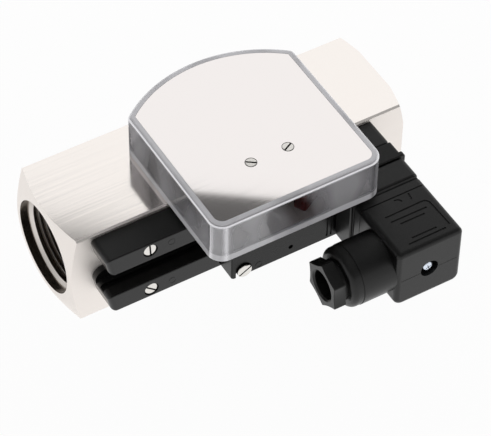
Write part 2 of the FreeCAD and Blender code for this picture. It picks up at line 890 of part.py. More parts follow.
def rounded_block(width, height, y0, y1, radius, lower_radius=None):
    """Block about the plug axis with rounded long edges, the lower ones perhaps rounder."""
    low = rail_mid - height / 2
    solid = block(plug_x - width / 2, plug_x + width / 2, y0, y1, low, low + height)
    if lower_radius is None:
        return rounded(solid, radius, lambda edge: runs_along(edge, "y"))
    solid = rounded(solid, lower_radius, lambda edge: runs_along(edge, "y") and at_level(edge, "z", low))
    return rounded(solid, radius, lambda edge: runs_along(edge, "y") and at_level(edge, "z", low + height))


def around_plug(solid, index):
    """Copy of a piece turned to one of the contact places."""
    copy = solid.copy()
    copy.rotate(Vector(plug_x, 0, rail_mid), Vector(0, 1, 0), 360.0 * index / blade_count)
    return copy


def blade_slot(fit, y0, y1):
    """Room of the first contact blade, with a fit all round."""
    x = plug_x + blade_circle
    thick = blade_thickness / 2 + fit
    wide = blade_width / 2 + fit
    return block(x - thick, x + thick, y0, y1, rail_mid - wide, rail_mid + wide)


def plug_base():
    """Base of the plug on the carriage, with a neck behind a square flange."""
    neck_width = plug_width - 2 * plug_neck_inset
    neck_height = plug_height - 2 * plug_neck_inset
    neck = rounded_block(neck_width, neck_height, plug_back, carriage_front, plug_round)
    flange = rounded_block(plug_width, plug_height, plug_front, plug_back, plug_round)
    flange = rounded(flange, plug_edge_round, lambda edge: at_level(edge, "y", plug_front))
    base = joined(neck, flange)
    for index in range(blade_count):
        slot = blade_slot(insert_fit, plug_front, plug_front + blade_root)
        base = base.cut(around_plug(slot, index))
    nut_room = rod_y(plug_nut_radius + insert_fit, plug_front, plug_front + plug_nut_length, plug_x, rail_mid)
    tail = rod_y(plug_screw_radius + moving_gap, plug_front, plug_screw_tip + moving_gap, plug_x, rail_mid)
    return base.cut(nut_room).cut(tail)


def plug_nut():
    """Threaded bush in the plug base for the connector screw."""
    bush = rod_y(plug_nut_radius, plug_front, plug_front + plug_nut_length, plug_x, rail_mid)
    bore = rod_y(plug_screw_radius + running_fit, plug_front, plug_front + plug_nut_length, plug_x, rail_mid)
    return bush.cut(bore)


def contact_blades():
    """Flat contact blades of the plug base."""
    blade = blade_slot(0, plug_front + blade_root - blade_length, plug_front + blade_root)
    return group([around_plug(blade, index) for index in range(blade_count)])


def plug_gasket():
    """Flat square seal between plug base and connector."""
    ring = rounded_block(
        connector_width - 2 * gasket_inset,
        connector_height - 2 * gasket_inset,
        gasket_front,
        plug_front,
        connector_round,
    )
    opening = rounded_block(
        connector_width - 2 * gasket_band,
        connector_height - 2 * gasket_band,
        gasket_front,
        plug_front,
        connector_round,
    )
    return ring.cut(opening)


def terminal_block():
    """Contact carrier of the connector: a visible frame and a block inside the housing."""
    frame = rounded_block(connector_width, connector_height, frame_front, gasket_front, connector_round)
    inset = connector_wall + block_gap
    inner = rounded_block(
        connector_width - 2 * inset,
        connector_height - 2 * inset,
        frame_front - block_depth,
        frame_front,
        connector_round,
    )
    carrier = joined(frame, inner)
    tip = plug_front + blade_root - blade_length
    for index in range(blade_count):
        room = blade_slot(blade_fit + socket_wall + insert_fit, tip - socket_wall, gasket_front)
        carrier = carrier.cut(around_plug(room, index))
    hole = plug_screw_radius + moving_gap
    return carrier.cut(rod_y(hole, frame_front - block_depth, gasket_front, plug_x, rail_mid))


def contact_sockets():
    """Sheet sockets in the carrier that grip the blades."""
    tip = plug_front + blade_root - blade_length
    sleeve = blade_slot(blade_fit + socket_wall, tip - socket_wall, gasket_front)
    sleeve = sleeve.cut(blade_slot(blade_fit, tip - socket_wall, gasket_front))
    return group([around_plug(sleeve, index) for index in range(blade_count)])


def connector_housing():
    """Square housing with a round cable neck on its left side."""
    case = rounded_block(
        connector_width,
        connector_height,
        connector_front,
        frame_front,
        connector_round,
        connector_lower_round,
    )
    case = rounded(case, connector_front_round, lambda edge: at_level(edge, "y", connector_front))
    case = rounded(case, connector_back_round, lambda edge: at_level(edge, "y", frame_front))
    root = rod_x(neck_radius, x_neck_end + neck_step_length, x_connector + connector_wall, gland_y, rail_mid)
    nose = rod_x(neck_radius - neck_step, x_neck_end, x_neck_end + neck_step_length, gland_y, rail_mid)
    nose = rounded(nose, neck_round, lambda edge: at_level(edge, "x", x_neck_end))
    neck = joined(root, nose)
    case = joined(case, neck)
    cavity = rounded_block(
        connector_width - 2 * connector_wall,
        connector_height - 2 * connector_wall,
        connector_front + connector_front_wall,
        frame_front,
        connector_round,
    )
    case = case.cut(cavity)
    case = case.cut(rod_x(gland_bore_radius, x_neck_end, x_gland_seat, gland_y, rail_mid))
    case = case.cut(rod_x(cable_radius, x_gland_seat, x_connector + connector_wall, gland_y, rail_mid))
    case = case.cut(rod_y(plug_screw_recess, connector_front, plug_screw_seat, plug_x, rail_mid))
    hole = plug_screw_radius + running_fit
    inner_face = connector_front + connector_front_wall
    return case.cut(rod_y(hole, plug_screw_seat, inner_face, plug_x, rail_mid))


def connector_screw():
    """Long screw that holds the connector on the plug base."""
    seat = plug_screw_seat - moving_gap
    head = rod_y(plug_screw_head, seat - plug_screw_head_height, seat, plug_x, rail_mid)
    shank = rod_y(plug_screw_radius, seat, plug_screw_tip, plug_x, rail_mid)
    return joined(head, shank)


def gland_nut():
    """Compression screw of the cable gland: a scalloped hexagon, a round collar and a stem."""
    side_angle = 360 / nut_sides
    hollow = nut_corner_radius * math.cos(math.radians(side_angle / 2)) - nut_scallop
    sides = []
    for index in range(nut_sides):
        turn = nut_rest_angle + side_angle * index
        start = around_gland(nut_corner_radius, turn)
        middle = around_gland(hollow, turn + side_angle / 2)
        end = around_gland(nut_corner_radius, turn + side_angle)
        sides.append(Part.Arc(start, middle, end).toShape())
    head = Part.Face(Part.Wire(sides)).extrude(Vector(nut_length, 0, 0))
    head = rounded(head, nut_corner_round, lambda edge: runs_along(edge, "x"))
    head = rounded(head, nut_edge_round, lambda edge: at_level(edge, "x", x_nut_front))
    stem_radius = gland_bore_radius - running_fit
    stem = rod_x(stem_radius, x_nut_hex, x_nut_stem, gland_y, rail_mid)
    nut = joined(head, stem)
    bore = turned(
        [
            (x_nut_front, 0),
            (x_nut_front, cable_radius + mouth_round),
            (x_nut_front + mouth_round, cable_radius),
            (x_nut_stem, cable_radius),
            (x_nut_stem, 0),
        ],
        gland_y,
        rail_mid,
    )
    return nut.cut(bore)


def around_gland(radius, degrees):
    """Point on the front of the gland nut."""
    angle = math.radians(degrees)
    return Vector(x_nut_front, gland_y + radius * math.sin(angle), rail_mid + radius * math.cos(angle))


def gland_washer():
    """Thin ring that the gland nut turns against."""
    x0 = x_nut_stem + moving_gap
    ring = rod_x(gland_bore_radius - gland_play, x0, x0 + washer_thickness, gland_y, rail_mid)
    return ring.cut(rod_x(cable_radius, x0, x0 + washer_thickness, gland_y, rail_mid))


def gland_seal():
    """Rubber bush that is squeezed round the cable."""
    x0 = x_nut_stem + moving_gap + washer_thickness
    bush = rod_x(gland_bore_radius - gland_play, x0, x_gland_seat, gland_y, rail_mid)
    return bush.cut(rod_x(cable_radius, x0, x_gland_seat, gland_y, rail_mid))


pieces = {
    "meter_body": meter_body(),
    "slotted_nozzle": slotted_nozzle(),
    "inlet_retaining_ring": retaining_ring(x_inlet_shoulder - flange_thickness - ring_thickness),
    "spring_seat": spring_seat(),
    "outlet_retaining_ring": retaining_ring(x_outlet_shoulder + flange_thickness),
    "float_piston": float_piston(),
    "float_magnet": float_magnet(),
    "magnet_cap": magnet_cap(),
    "return_spring": return_spring(),
    "indicator_base": indicator_base(),
    "base_screws": base_screws(),
    "indicator_cover": indicator_cover(),
    "dial_plate": dial_plate(),
    "cover_posts": cover_posts(),
    "cover_screws": cover_screws(),
    "pivot_pin": pivot_pin(),
    "pivot_clip": pivot_clip(),
    "pointer_hub": pointer_hub(),
    "pointer_blade": pointer_blade(),
    "follower_magnet": follower_magnet(),
    "upper_rail": guide_rail(1, x_rail_start, upper_foot_reach),
    "lower_rail": guide_rail(-1, x_rail_start - lower_rail_lead, lower_foot_reach),
    "rail_screws": rail_screws(),
    "switch_carriage": switch_carriage(),
    "clamp_insert": clamp_insert(),
    "clamp_screw": clamp_screw(),
    "reed_switch": reed_switch(),
    "plug_base": plug_base(),
    "plug_nut": plug_nut(),
    "contact_blades": contact_blades(),
    "plug_gasket": plug_gasket(),
    "terminal_block": terminal_block(),
    "contact_sockets": contact_sockets(),
    "connector_housing": connector_housing(),
    "connector_screw": connector_screw(),
    "gland_nut": gland_nut(),
    "gland_washer": gland_washer(),
    "gland_seal": gland_seal(),
}

os.makedirs("parts", exist_ok=True)
for name, shape in pieces.items():
    shape.exportStep("parts/" + name + ".step")
    state = "valid" if shape.isValid() else "INVALID"
    print(name, len(shape.Solids), "solids", round(shape.Volume), "mm3", state)
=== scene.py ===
"""Looks of a variable area flow meter: finishes, screws, threads, mould marks, light and camera."""

import functools
import logging
import math
from dataclasses import dataclass, field
from enum import Enum
from typing import ClassVar

import bmesh
import bpy
from mathutils import Matrix, Vector


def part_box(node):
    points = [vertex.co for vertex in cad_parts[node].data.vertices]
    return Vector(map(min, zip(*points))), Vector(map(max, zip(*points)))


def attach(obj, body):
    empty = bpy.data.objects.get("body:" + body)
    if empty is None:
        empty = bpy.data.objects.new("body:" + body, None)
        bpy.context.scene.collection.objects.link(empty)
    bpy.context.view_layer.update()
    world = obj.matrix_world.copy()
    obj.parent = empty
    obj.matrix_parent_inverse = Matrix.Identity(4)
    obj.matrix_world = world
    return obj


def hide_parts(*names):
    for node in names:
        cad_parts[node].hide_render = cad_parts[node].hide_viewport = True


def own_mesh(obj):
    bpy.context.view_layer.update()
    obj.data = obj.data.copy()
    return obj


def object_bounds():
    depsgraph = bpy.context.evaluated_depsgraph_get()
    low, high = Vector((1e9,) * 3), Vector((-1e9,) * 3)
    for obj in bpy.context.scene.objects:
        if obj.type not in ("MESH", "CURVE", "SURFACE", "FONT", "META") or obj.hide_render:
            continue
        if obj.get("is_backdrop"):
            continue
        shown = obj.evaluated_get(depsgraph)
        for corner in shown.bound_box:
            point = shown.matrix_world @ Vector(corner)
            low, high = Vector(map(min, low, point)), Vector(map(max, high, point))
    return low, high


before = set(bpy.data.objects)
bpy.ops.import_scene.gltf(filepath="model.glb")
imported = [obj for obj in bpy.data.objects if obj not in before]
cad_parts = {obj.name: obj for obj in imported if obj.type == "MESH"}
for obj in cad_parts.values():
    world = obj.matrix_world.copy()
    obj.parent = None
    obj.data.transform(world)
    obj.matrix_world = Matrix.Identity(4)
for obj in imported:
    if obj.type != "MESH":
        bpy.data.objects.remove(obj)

LOG = logging.getLogger("flow_meter")
CAD_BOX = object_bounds()
MM = 0.001
MERGE_DISTANCE = 0.001 * MM
WHITE = (1.0, 1.0, 1.0, 1.0)
SQUARE_CORNERS = ((-1, -1), (1, -1), (1, 1), (-1, 1))

# Angles of sharp edges, and areas in square metres from which a face is kept flat.
SHARP_ANGLE = math.radians(32)
FLAT_ANGLE = math.radians(2)
FLAT_COSINE = math.cos(math.radians(0.5))
FLAT_SHARE = 6.0
SMALL_FLAT = 2e-6
LARGE_FLAT = 150e-6

# Inputs of a Map Range node, a Mix node's two colours and its mixed colour by their index, the used
# middle part of a noise, and the normal's Z on level faces.
RANGE = ("Value", "From Min", "From Max", "To Min", "To Max")
MIX_COLOURS = (6, 7)
MIXED_COLOUR = 2
NOISE_MIDDLE = (0.3, 0.7)
LEVEL_NORMAL = (0.6, 0.95)

# Screws: steps of the head, where the shank starts in it, and the width in heads that holds no second.
SCREW_LENGTHS = (
    "Head Radius", "Head Height", "Edge Round", "Shank Radius", "Slot Width", "Slot Length", "Slot Depth"
)
HEAD_RINGS = 28
HEAD_FACETS = 44
SHANK_START = 0.5
LONE_HEAD = 1.5

# Ridges, threads and coils: steps of their paths and sections, and the groove's widths in pitches.
RING_STEP = 12
CORNER_STEPS = 8
RIDGE_FACETS = 10
THREAD_STEPS = 64
COIL_STEPS = 40
WIRE_FACETS = 14
MOUTH_SHARE = 0.45
ROOT_SHARE = 0.08
WALL_SHARE = 0.1

Point = tuple[float, float, float]
Line = tuple[tuple[float, float], ...]
Inputs = dict[str | int, object]
Mesh = bpy.types.Mesh
Node = bpy.types.Node
Tree = bpy.types.NodeTree


class Axis(Enum):
    """Direction that a fastener's head faces."""

    UP = "+Z"
    FRONT = "-Y"

    def turn(self) -> Matrix:
        """Return the rotation from something that faces +Z to this direction."""
        if self is Axis.FRONT:
            return Matrix.Rotation(math.radians(90), 4, "X")
        return Matrix.Identity(4)


class Drive(Enum):
    """Recess that a screwdriver fits in."""

    SLOT = False
    CROSS = True


class Socket(Enum):
    """Kind of an input of a Geometry Nodes tree."""

    LENGTH = "NodeSocketFloat"
    COUNT = "NodeSocketInt"
    CHOICE = "NodeSocketBool"
    MATERIAL = "NodeSocketMaterial"


def linear(hex_colour: str) -> tuple[float, float, float, float]:
    """Turn an sRGB hex colour into linear RGBA.

    Args:
        hex_colour: Colour as "#rrggbb".

    Returns:
        Linear red, green, blue and an alpha of 1.
    """
    parts = [int(hex_colour[i:i + 2], 16) / 255 for i in (1, 3, 5)]
    rgb = [c / 12.92 if c <= 0.04045 else ((c + 0.055) / 1.055) ** 2.4 for c in parts]
    return (rgb[0], rgb[1], rgb[2], 1.0)


def feed(node: Node, key: str | int, value: object) -> None:
    """Set an input of a node, or link it.

    Args:
        node: Node that gets the value.
        key: Name or index of the input.
        value: A value, an output socket, a node whose first output is taken, or a list of those.
    """
    for source in value if isinstance(value, list) else [value]:
        if isinstance(source, bpy.types.Node):
            source = source.outputs[0]
        if isinstance(source, bpy.types.NodeSocket):
            node.id_data.links.new(source, node.inputs[key])
        else:
            node.inputs[key].default_value = source


def add_node(tree: Tree, kind: str, inputs: Inputs | None = None, **settings: object) -> Node:
    """Add a node, with its settings, input values and links.

    Args:
        tree: Node tree that gets the node.
        kind: Blender's type name of the node.
        inputs: Input name or index to what is fed there.
        settings: Properties of the node itself.

    Returns:
        The new node.
    """
    node = tree.nodes.new(kind)
    for name, value in settings.items():
        setattr(node, name, value)
    for key, value in (inputs or {}).items():
        feed(node, key, value)
    return node


def cleared_tree(owner: bpy.types.Material | bpy.types.World) -> Tree:
    """Give a material or world an empty node tree.

    Args:
        owner: The material or world.

    Returns:
        Its tree.
    """
    owner.use_nodes = True
    owner.node_tree.nodes.clear()
    return owner.node_tree


def linked(name: str, data: bpy.types.ID) -> bpy.types.Object:
    """Make an object and put it into the scene.

    Args:
        name: Name of the object.
        data: Its mesh, lamp or camera.

    Returns:
        The object.
    """
    thing = bpy.data.objects.new(name, data)
    bpy.context.scene.collection.objects.link(thing)
    return thing


@dataclass(frozen=True)
class Finish:
    """A material with its typical values. Each kind of finish adds its own pattern."""

    name: str
    colour: str
    metallic: float = 0.0
    roughness: float = 0.4
    ior: float = 1.5
    specular: float = 0.5
    transmission: float = 0.0

    def pattern(self, shader: Node) -> None:
        """Add the finish's pattern to its shader node."""
        raise NotImplementedError

    def noise(self, tree: Tree, cell: Point, layers: float, shift: Point = (0.0, 0.0, 0.0)) -> Node:
        """Add a noise whose cells have a real size.

        Args:
            tree: The material's node tree.
            cell: Size of a cell along X, Y and Z in millimetres.
            layers: Number of finer layers.
            shift: Place of the pattern, in cells.

        Returns:
            The noise.
        """
        place = add_node(tree, "ShaderNodeTexCoord").outputs["Object"]
        scale = tuple(1 / (size * MM) for size in cell)
        scaled = add_node(tree, "ShaderNodeMapping", {"Vector": place, "Location": shift, "Scale": scale})
        return add_node(tree, "ShaderNodeTexNoise", {"Vector": scaled, "Scale": 1.0, "Detail": layers})

    def spread(self, tree: Tree, noise: Node, low: float, high: float) -> Node:
        """Spread a noise's middle part over a range and return that."""
        return add_node(tree, "ShaderNodeMapRange", dict(zip(RANGE, (noise, *NOISE_MIDDLE, low, high))))

    def relief(self, shader: Node, height: Node, depth: float) -> None:
        """Let the light follow a relief from 0 to 1, whose depth is in millimetres."""
        sizes = {"Height": height, "Strength": 1.0, "Distance": depth * MM}
        feed(shader, "Normal", add_node(shader.id_data, "ShaderNodeBump", sizes))

    def dulled(self, tree: Tree, rough: Node, side: float, top: float) -> Node:
        """Make upright or level faces duller.

        Args:
            tree: The material's node tree.
            rough: Roughness before.
            side: Roughness that upright faces get more.
            top: Roughness that level faces get more.

        Returns:
            Roughness after.
        """
        normal = add_node(tree, "ShaderNodeNewGeometry").outputs["Normal"]
        height = add_node(tree, "ShaderNodeSeparateXYZ", {"Vector": normal}).outputs["Z"]
        level = add_node(tree, "ShaderNodeMath", {0: height}, operation="ABSOLUTE")
        added = add_node(tree, "ShaderNodeMapRange", dict(zip(RANGE, (level, *LEVEL_NORMAL, side, top))))
        return add_node(tree, "ShaderNodeMath", {0: rough, 1: added}, operation="ADD")

    def material(self) -> bpy.types.Material:
        """Make this finish's material on its first use.

        Returns:
            The material.
        """
        found = bpy.data.materials.get(self.name)
        if found:
            return found
        material = bpy.data.materials.new(self.name)
        tree = cleared_tree(material)
        values = {
            "Base Color": linear(self.colour),
            "Metallic": self.metallic,
            "Roughness": self.roughness,
            "IOR": self.ior,
            "Specular IOR Level": self.specular,
            "Transmission Weight": self.transmission,
        }
        shader = add_node(tree, "ShaderNodeBsdfPrincipled", values)
        add_node(tree, "ShaderNodeOutputMaterial", {"Surface": shader})
        self.pattern(shader)
        return material


@dataclass(frozen=True)
class LinedFinish(Finish):
    """Metal with the fine lines of grinding, turning or rolling. Its upright sides can be duller."""

    line: Point = (60.0, 0.6, 0.6)
    line_layers: float = 3.0
    rough_spread: float = 0.03
    depth: float = 0.0004
    side_dullness: float = 0.0

    def pattern(self, shader: Node) -> None:
        """Add the lines to the roughness and the relief.

        Args:
            shader: The material's shader node.
        """
        tree = shader.id_data
        lines = self.noise(tree, self.line, self.line_layers)
        self.relief(shader, lines, self.depth)
        low, high = self.roughness - self.rough_spread, self.roughness + self.rough_spread
        rough = self.spread(tree, lines, low, high)
        if self.side_dullness:
            rough = self.dulled(tree, rough, self.side_dullness, 0.0)
        feed(shader, "Roughness", rough)


@dataclass(frozen=True)
class GrainFinish(Finish):
    """Moulded, painted or sintered skin: fine grain and a slow change of shade. Its top can be duller."""

    shade: str = "#202020"
    grain: float = 0.5
    grain_layers: float = 2.0
    depth: float = 0.006
    rough_spread: float = 0.05
    cloud: float = 14.0
    cloud_layers: float = 4.0
    top_dullness: float = 0.0

    def pattern(self, shader: Node) -> None:
        """Add the shade to the colour and the grain to the roughness and the relief.

        Args:
            shader: The material's shader node.
        """
        tree = shader.id_data
        clouds = self.spread(tree, self.noise(tree, (self.cloud,) * 3, self.cloud_layers), 0.0, 1.0)
        colours = dict(zip(MIX_COLOURS, (linear(self.colour), linear(self.shade))))
        tint = add_node(tree, "ShaderNodeMix", {"Factor": clouds} | colours, data_type="RGBA")
        feed(shader, "Base Color", tint.outputs[MIXED_COLOUR])
        grain = self.noise(tree, (self.grain,) * 3, self.grain_layers)
        self.relief(shader, grain, self.depth)
        low, high = self.roughness - self.rough_spread, self.roughness + self.rough_spread
        rough = self.spread(tree, grain, low, high)
        if self.top_dullness:
            rough = self.dulled(tree, rough, 0.0, self.top_dullness)
        feed(shader, "Roughness", rough)


@dataclass(frozen=True)
class ClearFinish(Finish):
    """Clear moulding, a little wavy and mottled, milky at its rim and foot, with metallic round edges and
    front corners as painted highlights.
    """

    wave: float = 9.0
    wave_layers: float = 1.0
    depth: float = 0.03
    mottle: float = 0.0
    patch: Point = (14.0, 14.0, 30.0)
    patch_layers: float = 0.5
    patch_shift: Point = (0.0, 0.0, 0.0)
    rim_from: float = 0.0
    rim_haze: float = 0.0
    foot_to: float = 0.0
    foot_haze: float = 0.0
    fade: float = 1.0
    edge_highlight: float = 0.0
    highlight_reach: tuple[float, float] = (0.05, 0.35)
    tilt_peak: float = 0.5
    streak_peak: float = 0.25
    corner_front: float = -55.0

    def pattern(self, shader: Node) -> None:
        """Add the waves, the haze and the painted highlights on the edges.

        Args:
            shader: The material's shader node.
        """
        self.relief(shader, self.noise(shader.id_data, (self.wave,) * 3, self.wave_layers), self.depth)
        if self.mottle:
            self.haze(shader)
        # Metallic round edges and front corners: painted highlights.
        if self.edge_highlight:
            self.paint_edge_highlights(shader)

    def haze(self, shader: Node) -> None:
        """Take the haze's share from the transmission: patches all over, bands at the rim and the foot.

        Args:
            shader: The material's shader node.
        """
        tree = shader.id_data
        place = add_node(tree, "ShaderNodeTexCoord").outputs["Object"]
        height = add_node(tree, "ShaderNodeSeparateXYZ", {"Vector": place}).outputs["Z"]
        rim = (height, self.rim_from * MM, (self.rim_from + self.fade) * MM, 0.0, self.rim_haze)
        foot = (height, (self.foot_to - self.fade) * MM, self.foot_to * MM, self.foot_haze, 0.0)
        bands = [add_node(tree, "ShaderNodeMapRange", dict(zip(RANGE, band))) for band in (rim, foot)]
        both = add_node(tree, "ShaderNodeMath", dict(enumerate(bands)), operation="ADD")
        patches = self.noise(tree, self.patch, self.patch_layers, self.patch_shift)
        clear = self.spread(tree, patches, self.transmission, self.transmission - self.mottle)
        left = add_node(tree, "ShaderNodeMath", {0: clear, 1: both}, operation="SUBTRACT", use_clamp=True)
        feed(shader, "Transmission Weight", left)

    def paint_edge_highlights(self, shader: Node) -> None:
        """Make rounded edges and the front's corners metallic, as painted highlights that mirror the
        surroundings.

        Args:
            shader: The material's shader node.
        """
        tree = shader.id_data
        normal = add_node(tree, "ShaderNodeNewGeometry").outputs["Normal"]
        facing = add_node(tree, "ShaderNodeSeparateXYZ", {"Vector": normal}).outputs
        tilt = add_node(tree, "ShaderNodeMath", {0: facing["Z"], 1: self.tilt_peak}, operation="PINGPONG")
        product = add_node(tree, "ShaderNodeMath", {0: facing["X"], 1: facing["Y"]}, operation="MULTIPLY")
        streak = add_node(tree, "ShaderNodeMath", {0: product, 1: self.streak_peak}, operation="PINGPONG")
        place = add_node(tree, "ShaderNodeTexCoord").outputs["Object"]
        depth = add_node(tree, "ShaderNodeSeparateXYZ", {"Vector": place}).outputs["Y"]
        limit = {0: depth, 1: self.corner_front * MM}
        front = add_node(tree, "ShaderNodeMath", limit, operation="LESS_THAN")
        corner = add_node(tree, "ShaderNodeMath", {0: streak, 1: front}, operation="MULTIPLY")
        edge = add_node(tree, "ShaderNodeMath", {0: tilt, 1: corner}, operation="MAXIMUM")
        reach = (edge, *self.highlight_reach, 0.0, self.edge_highlight)
        feed(shader, "Metallic", add_node(tree, "ShaderNodeMapRange", dict(zip(RANGE, reach))))


# Nickel plate on a ground brass bar: warm white satin metal with faint lengthwise lines.
# The lines are 0.6 mm apart, coarser than real grinding marks, so that they show.
NICKEL = LinedFinish("ground_nickel_plate", "#faf4ef", metallic=1.0, roughness=0.12, side_dullness=0.4)
# The same plate on the turned walls of the ports: glossy, and darker as painted shade in the bore.
BORE_SHADE_NICKEL = LinedFinish(
    "nickel_plate_painted_bore_shade", "#7a736c", metallic=1.0, roughness=0.2,
    line=(0.4, 30.0, 30.0), depth=0.0006,
)
# The plate on the lead-in and the thread's outer flanks: rougher, so they catch light and show as lines.
THREAD_NICKEL = LinedFinish(
    "thread_cut_nickel_plate", "#e6e0da", metallic=1.0, roughness=0.45,
    line=(0.4, 30.0, 30.0), depth=0.0006,
)
# Polished stainless sheet, rolled lengthwise: near mirror, a trace warm.
MIRROR = LinedFinish(
    "polished_stainless_sheet", "#f5f0ee", metallic=1.0, roughness=0.05,
    line=(40.0, 0.8, 40.0), rough_spread=0.01, depth=0.00005,
)
# Clear polycarbonate, moulded: a trace violet, with milky patches, rim and foot, and round edges and front
# corners made metallic as painted highlights.
CLEAR = ClearFinish(
    "moulded_clear_polycarbonate", "#f0eff3", roughness=0.03, ior=1.58, transmission=1.0, depth=0.06,
    mottle=0.45, patch_shift=(1.2, 0.3, 0.0), rim_from=44.8, rim_haze=0.75, foot_to=29.0, foot_haze=0.8,
    edge_highlight=0.8,
)
# Glass-filled nylon of the rails, moulded: black with a soft gloss, duller on level faces.
BLACK = GrainFinish(
    "black_glass_filled_nylon", "#0a0a0a", roughness=0.22, specular=0.42, shade="#111110", depth=0.0015,
    top_dullness=0.35,
)
# Acetal of the sliding housing, moulded: deep black, slick, with a fine grain.
SLIDE_BLACK = GrainFinish(
    "black_acetal", "#0a0a0a", roughness=0.3, specular=0.28, shade="#131312", depth=0.004,
    top_dullness=0.25,
)
# Plain nylon of the plug, moulded with a fine spark-eroded skin: black and a little more matt in front.
PLUG_BLACK = GrainFinish(
    "black_moulded_nylon", "#0a0a0a", roughness=0.34, specular=0.42, shade="#10100f", depth=0.002,
    top_dullness=0.22,
)
# Pale grey moulded polycarbonate of the head's floor, satin.
PALE_GREY = GrainFinish(
    "pale_grey_polycarbonate", "#f4f0e9", roughness=0.25, shade="#ece7df", depth=0.002
)
# Nickel plate on turned steel screws: bright, with a fine grain.
BRIGHT = LinedFinish("nickel_plated_steel", "#e9e6e1", metallic=1.0, roughness=0.18, line=(0.5, 0.5, 0.5))
# Blue-passivated zinc on the plug's screw: bright, with a cold tint.
ZINC = LinedFinish(
    "blue_passivated_zinc_plate", "#e2eaf6", metallic=1.0, roughness=0.2, line=(0.5, 0.5, 0.5)
)
# The screws' slots and sides: dark grey metal, painted shade for the slots and the dark ring round each
# head.
RECESS_SHADE_STEEL = LinedFinish(
    "steel_painted_recess_shade", "#3c3a38", metallic=1.0, roughness=0.35, line=(0.4, 0.4, 0.4), depth=0.0006
)
# Brass turned along the bore: yellow with fine rings.
BRASS = LinedFinish(
    "turned_brass", "#c7a660", metallic=1.0, roughness=0.28, line=(0.5, 40.0, 40.0), depth=0.001
)
# Spring steel wire and clips, drawn and oiled: dull grey.
STEEL = LinedFinish(
    "drawn_spring_steel", "#9a9a98", metallic=1.0, roughness=0.3, line=(0.6, 0.6, 20.0), depth=0.001
)
# Dark red enamel on the pointer's sheet metal: a soft gloss with a slight orange peel.
ENAMEL = GrainFinish("dark_red_enamel", "#571714", roughness=0.3, shade="#491210", grain=1.6, depth=0.004)
# Moulded nitrile rubber: black and dull.
RUBBER = GrainFinish("nitrile_rubber", "#161616", roughness=0.7, shade="#1b1b1b", grain=0.4, depth=0.01)
# Sintered ferrite: dark grey, gritty.
FERRITE = GrainFinish(
    "sintered_ferrite", "#3a3a3c", roughness=0.6, shade="#303032", grain=0.3, depth=0.02
)
# Drawn soda glass of the contact's capsule: clear, a trace green, slightly wavy.
GLASS = ClearFinish("drawn_soda_glass", "#e4efe8", roughness=0.02, ior=1.52, transmission=1.0, wave=4.0)


def flat_areas(work: bmesh.types.BMesh) -> dict[int, float]:
    """Measure the flat area that each face belongs to.

    Args:
        work: The mesh.

    Returns:
        Index of each face to the area of its flat surroundings.
    """
    areas: dict[int, float] = {}
    for first in work.faces:
        if first.index in areas:
            continue
        group = {first.index: first}
        edge_of_group = [first]
        while edge_of_group:
            face = edge_of_group.pop()
            for edge in face.edges:
                for other in edge.link_faces:
                    if other.index not in group and other.normal.dot(first.normal) > FLAT_COSINE:
                        group[other.index] = other
                        edge_of_group.append(other)
        total = sum(face.calc_area() for face in group.values())
        areas.update((index, total) for index in group)
    return areas


def shade(mesh: Mesh, least_flat: float) -> None:
    """Shade a mesh smooth, but keep its sharp edges, and keep large flat faces flat.

    Args:
        mesh: The mesh.
        least_flat: Least area in square metres that counts as a large flat face.
    """
    work = bmesh.new()
    work.from_mesh(mesh)
    areas = flat_areas(work)
    for face in work.faces:
        face.smooth = True
    for edge in work.edges:
        if len(edge.link_faces) != 2:
            continue
        sizes = sorted(areas[face.index] for face in edge.link_faces)
        angle = edge.calc_face_angle(0.0)
        beside_flat = sizes[1] > max(FLAT_SHARE * sizes[0], least_flat)
        edge.smooth = not (angle > SHARP_ANGLE or (beside_flat and angle > FLAT_ANGLE))
    work.to_mesh(mesh)
    work.free()


def plain_mesh(thing: bpy.types.Object, least_flat: float) -> Mesh:
    """Turn an object with its modifiers into a plain shaded mesh.

    Args:
        thing: The object.
        least_flat: Least area in square metres that is kept flat.

    Returns:
        Its evaluated mesh.
    """
    graph = bpy.context.evaluated_depsgraph_get()
    mesh = bpy.data.meshes.new_from_object(thing.evaluated_get(graph))
    shade(mesh, least_flat)
    return mesh


def mesh_of(work: bmesh.types.BMesh, name: str) -> Mesh:
    """Turn mesh data under construction into a mesh.

    Args:
        work: The data, which is freed.
        name: Name of the mesh.

    Returns:
        The mesh.
    """
    mesh = bpy.data.meshes.new(name)
    work.to_mesh(mesh)
    work.free()
    return mesh


def merged_copy(node: str) -> Mesh:
    """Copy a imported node's mesh and merge its loose triangles.

    Args:
        node: Name of the node.

    Returns:
        The closed mesh.
    """
    work = bmesh.new()
    work.from_mesh(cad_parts[node].data)
    bmesh.ops.remove_doubles(work, verts=work.verts, dist=MERGE_DISTANCE)
    return mesh_of(work, node + "_closed")


def carved(block: Mesh, tool: Mesh, finish: Finish) -> Mesh:
    """Cut one closed mesh out of another.

    Args:
        block: Mesh that is cut.
        tool: Mesh that is taken away.
        finish: Finish of the result.

    Returns:
        The cut mesh.
    """
    things = [linked(mesh.name, mesh) for mesh in (block, tool)]
    cut = things[0].modifiers.new("cut", "BOOLEAN")
    cut.operation = "DIFFERENCE"
    cut.solver = "EXACT"
    cut.object = things[1]
    mesh = plain_mesh(things[0], LARGE_FLAT)
    for thing in things:
        bpy.data.objects.remove(thing)
    mesh.materials.clear()
    mesh.materials.append(finish.material())
    return mesh


def path_mesh(name: str, paths: list[list[Point]], closed: bool) -> Mesh:
    """Make a mesh of edges along paths.

    Args:
        name: Name of the mesh.
        paths: Points of each path in millimetres.
        closed: Whether the last point of a path joins the first.

    Returns:
        The mesh of edges.
    """
    points: list[Vector] = []
    edges: list[tuple[int, int]] = []
    for path in paths:
        first = len(points)
        points.extend(Vector(point) * MM for point in path)
        last = len(points) - 1
        edges.extend((i, i + 1) for i in range(first, last))
        if closed:
            edges.append((last, first))
    mesh = bpy.data.meshes.new(name)
    mesh.from_pydata(points, edges, [])
    return mesh


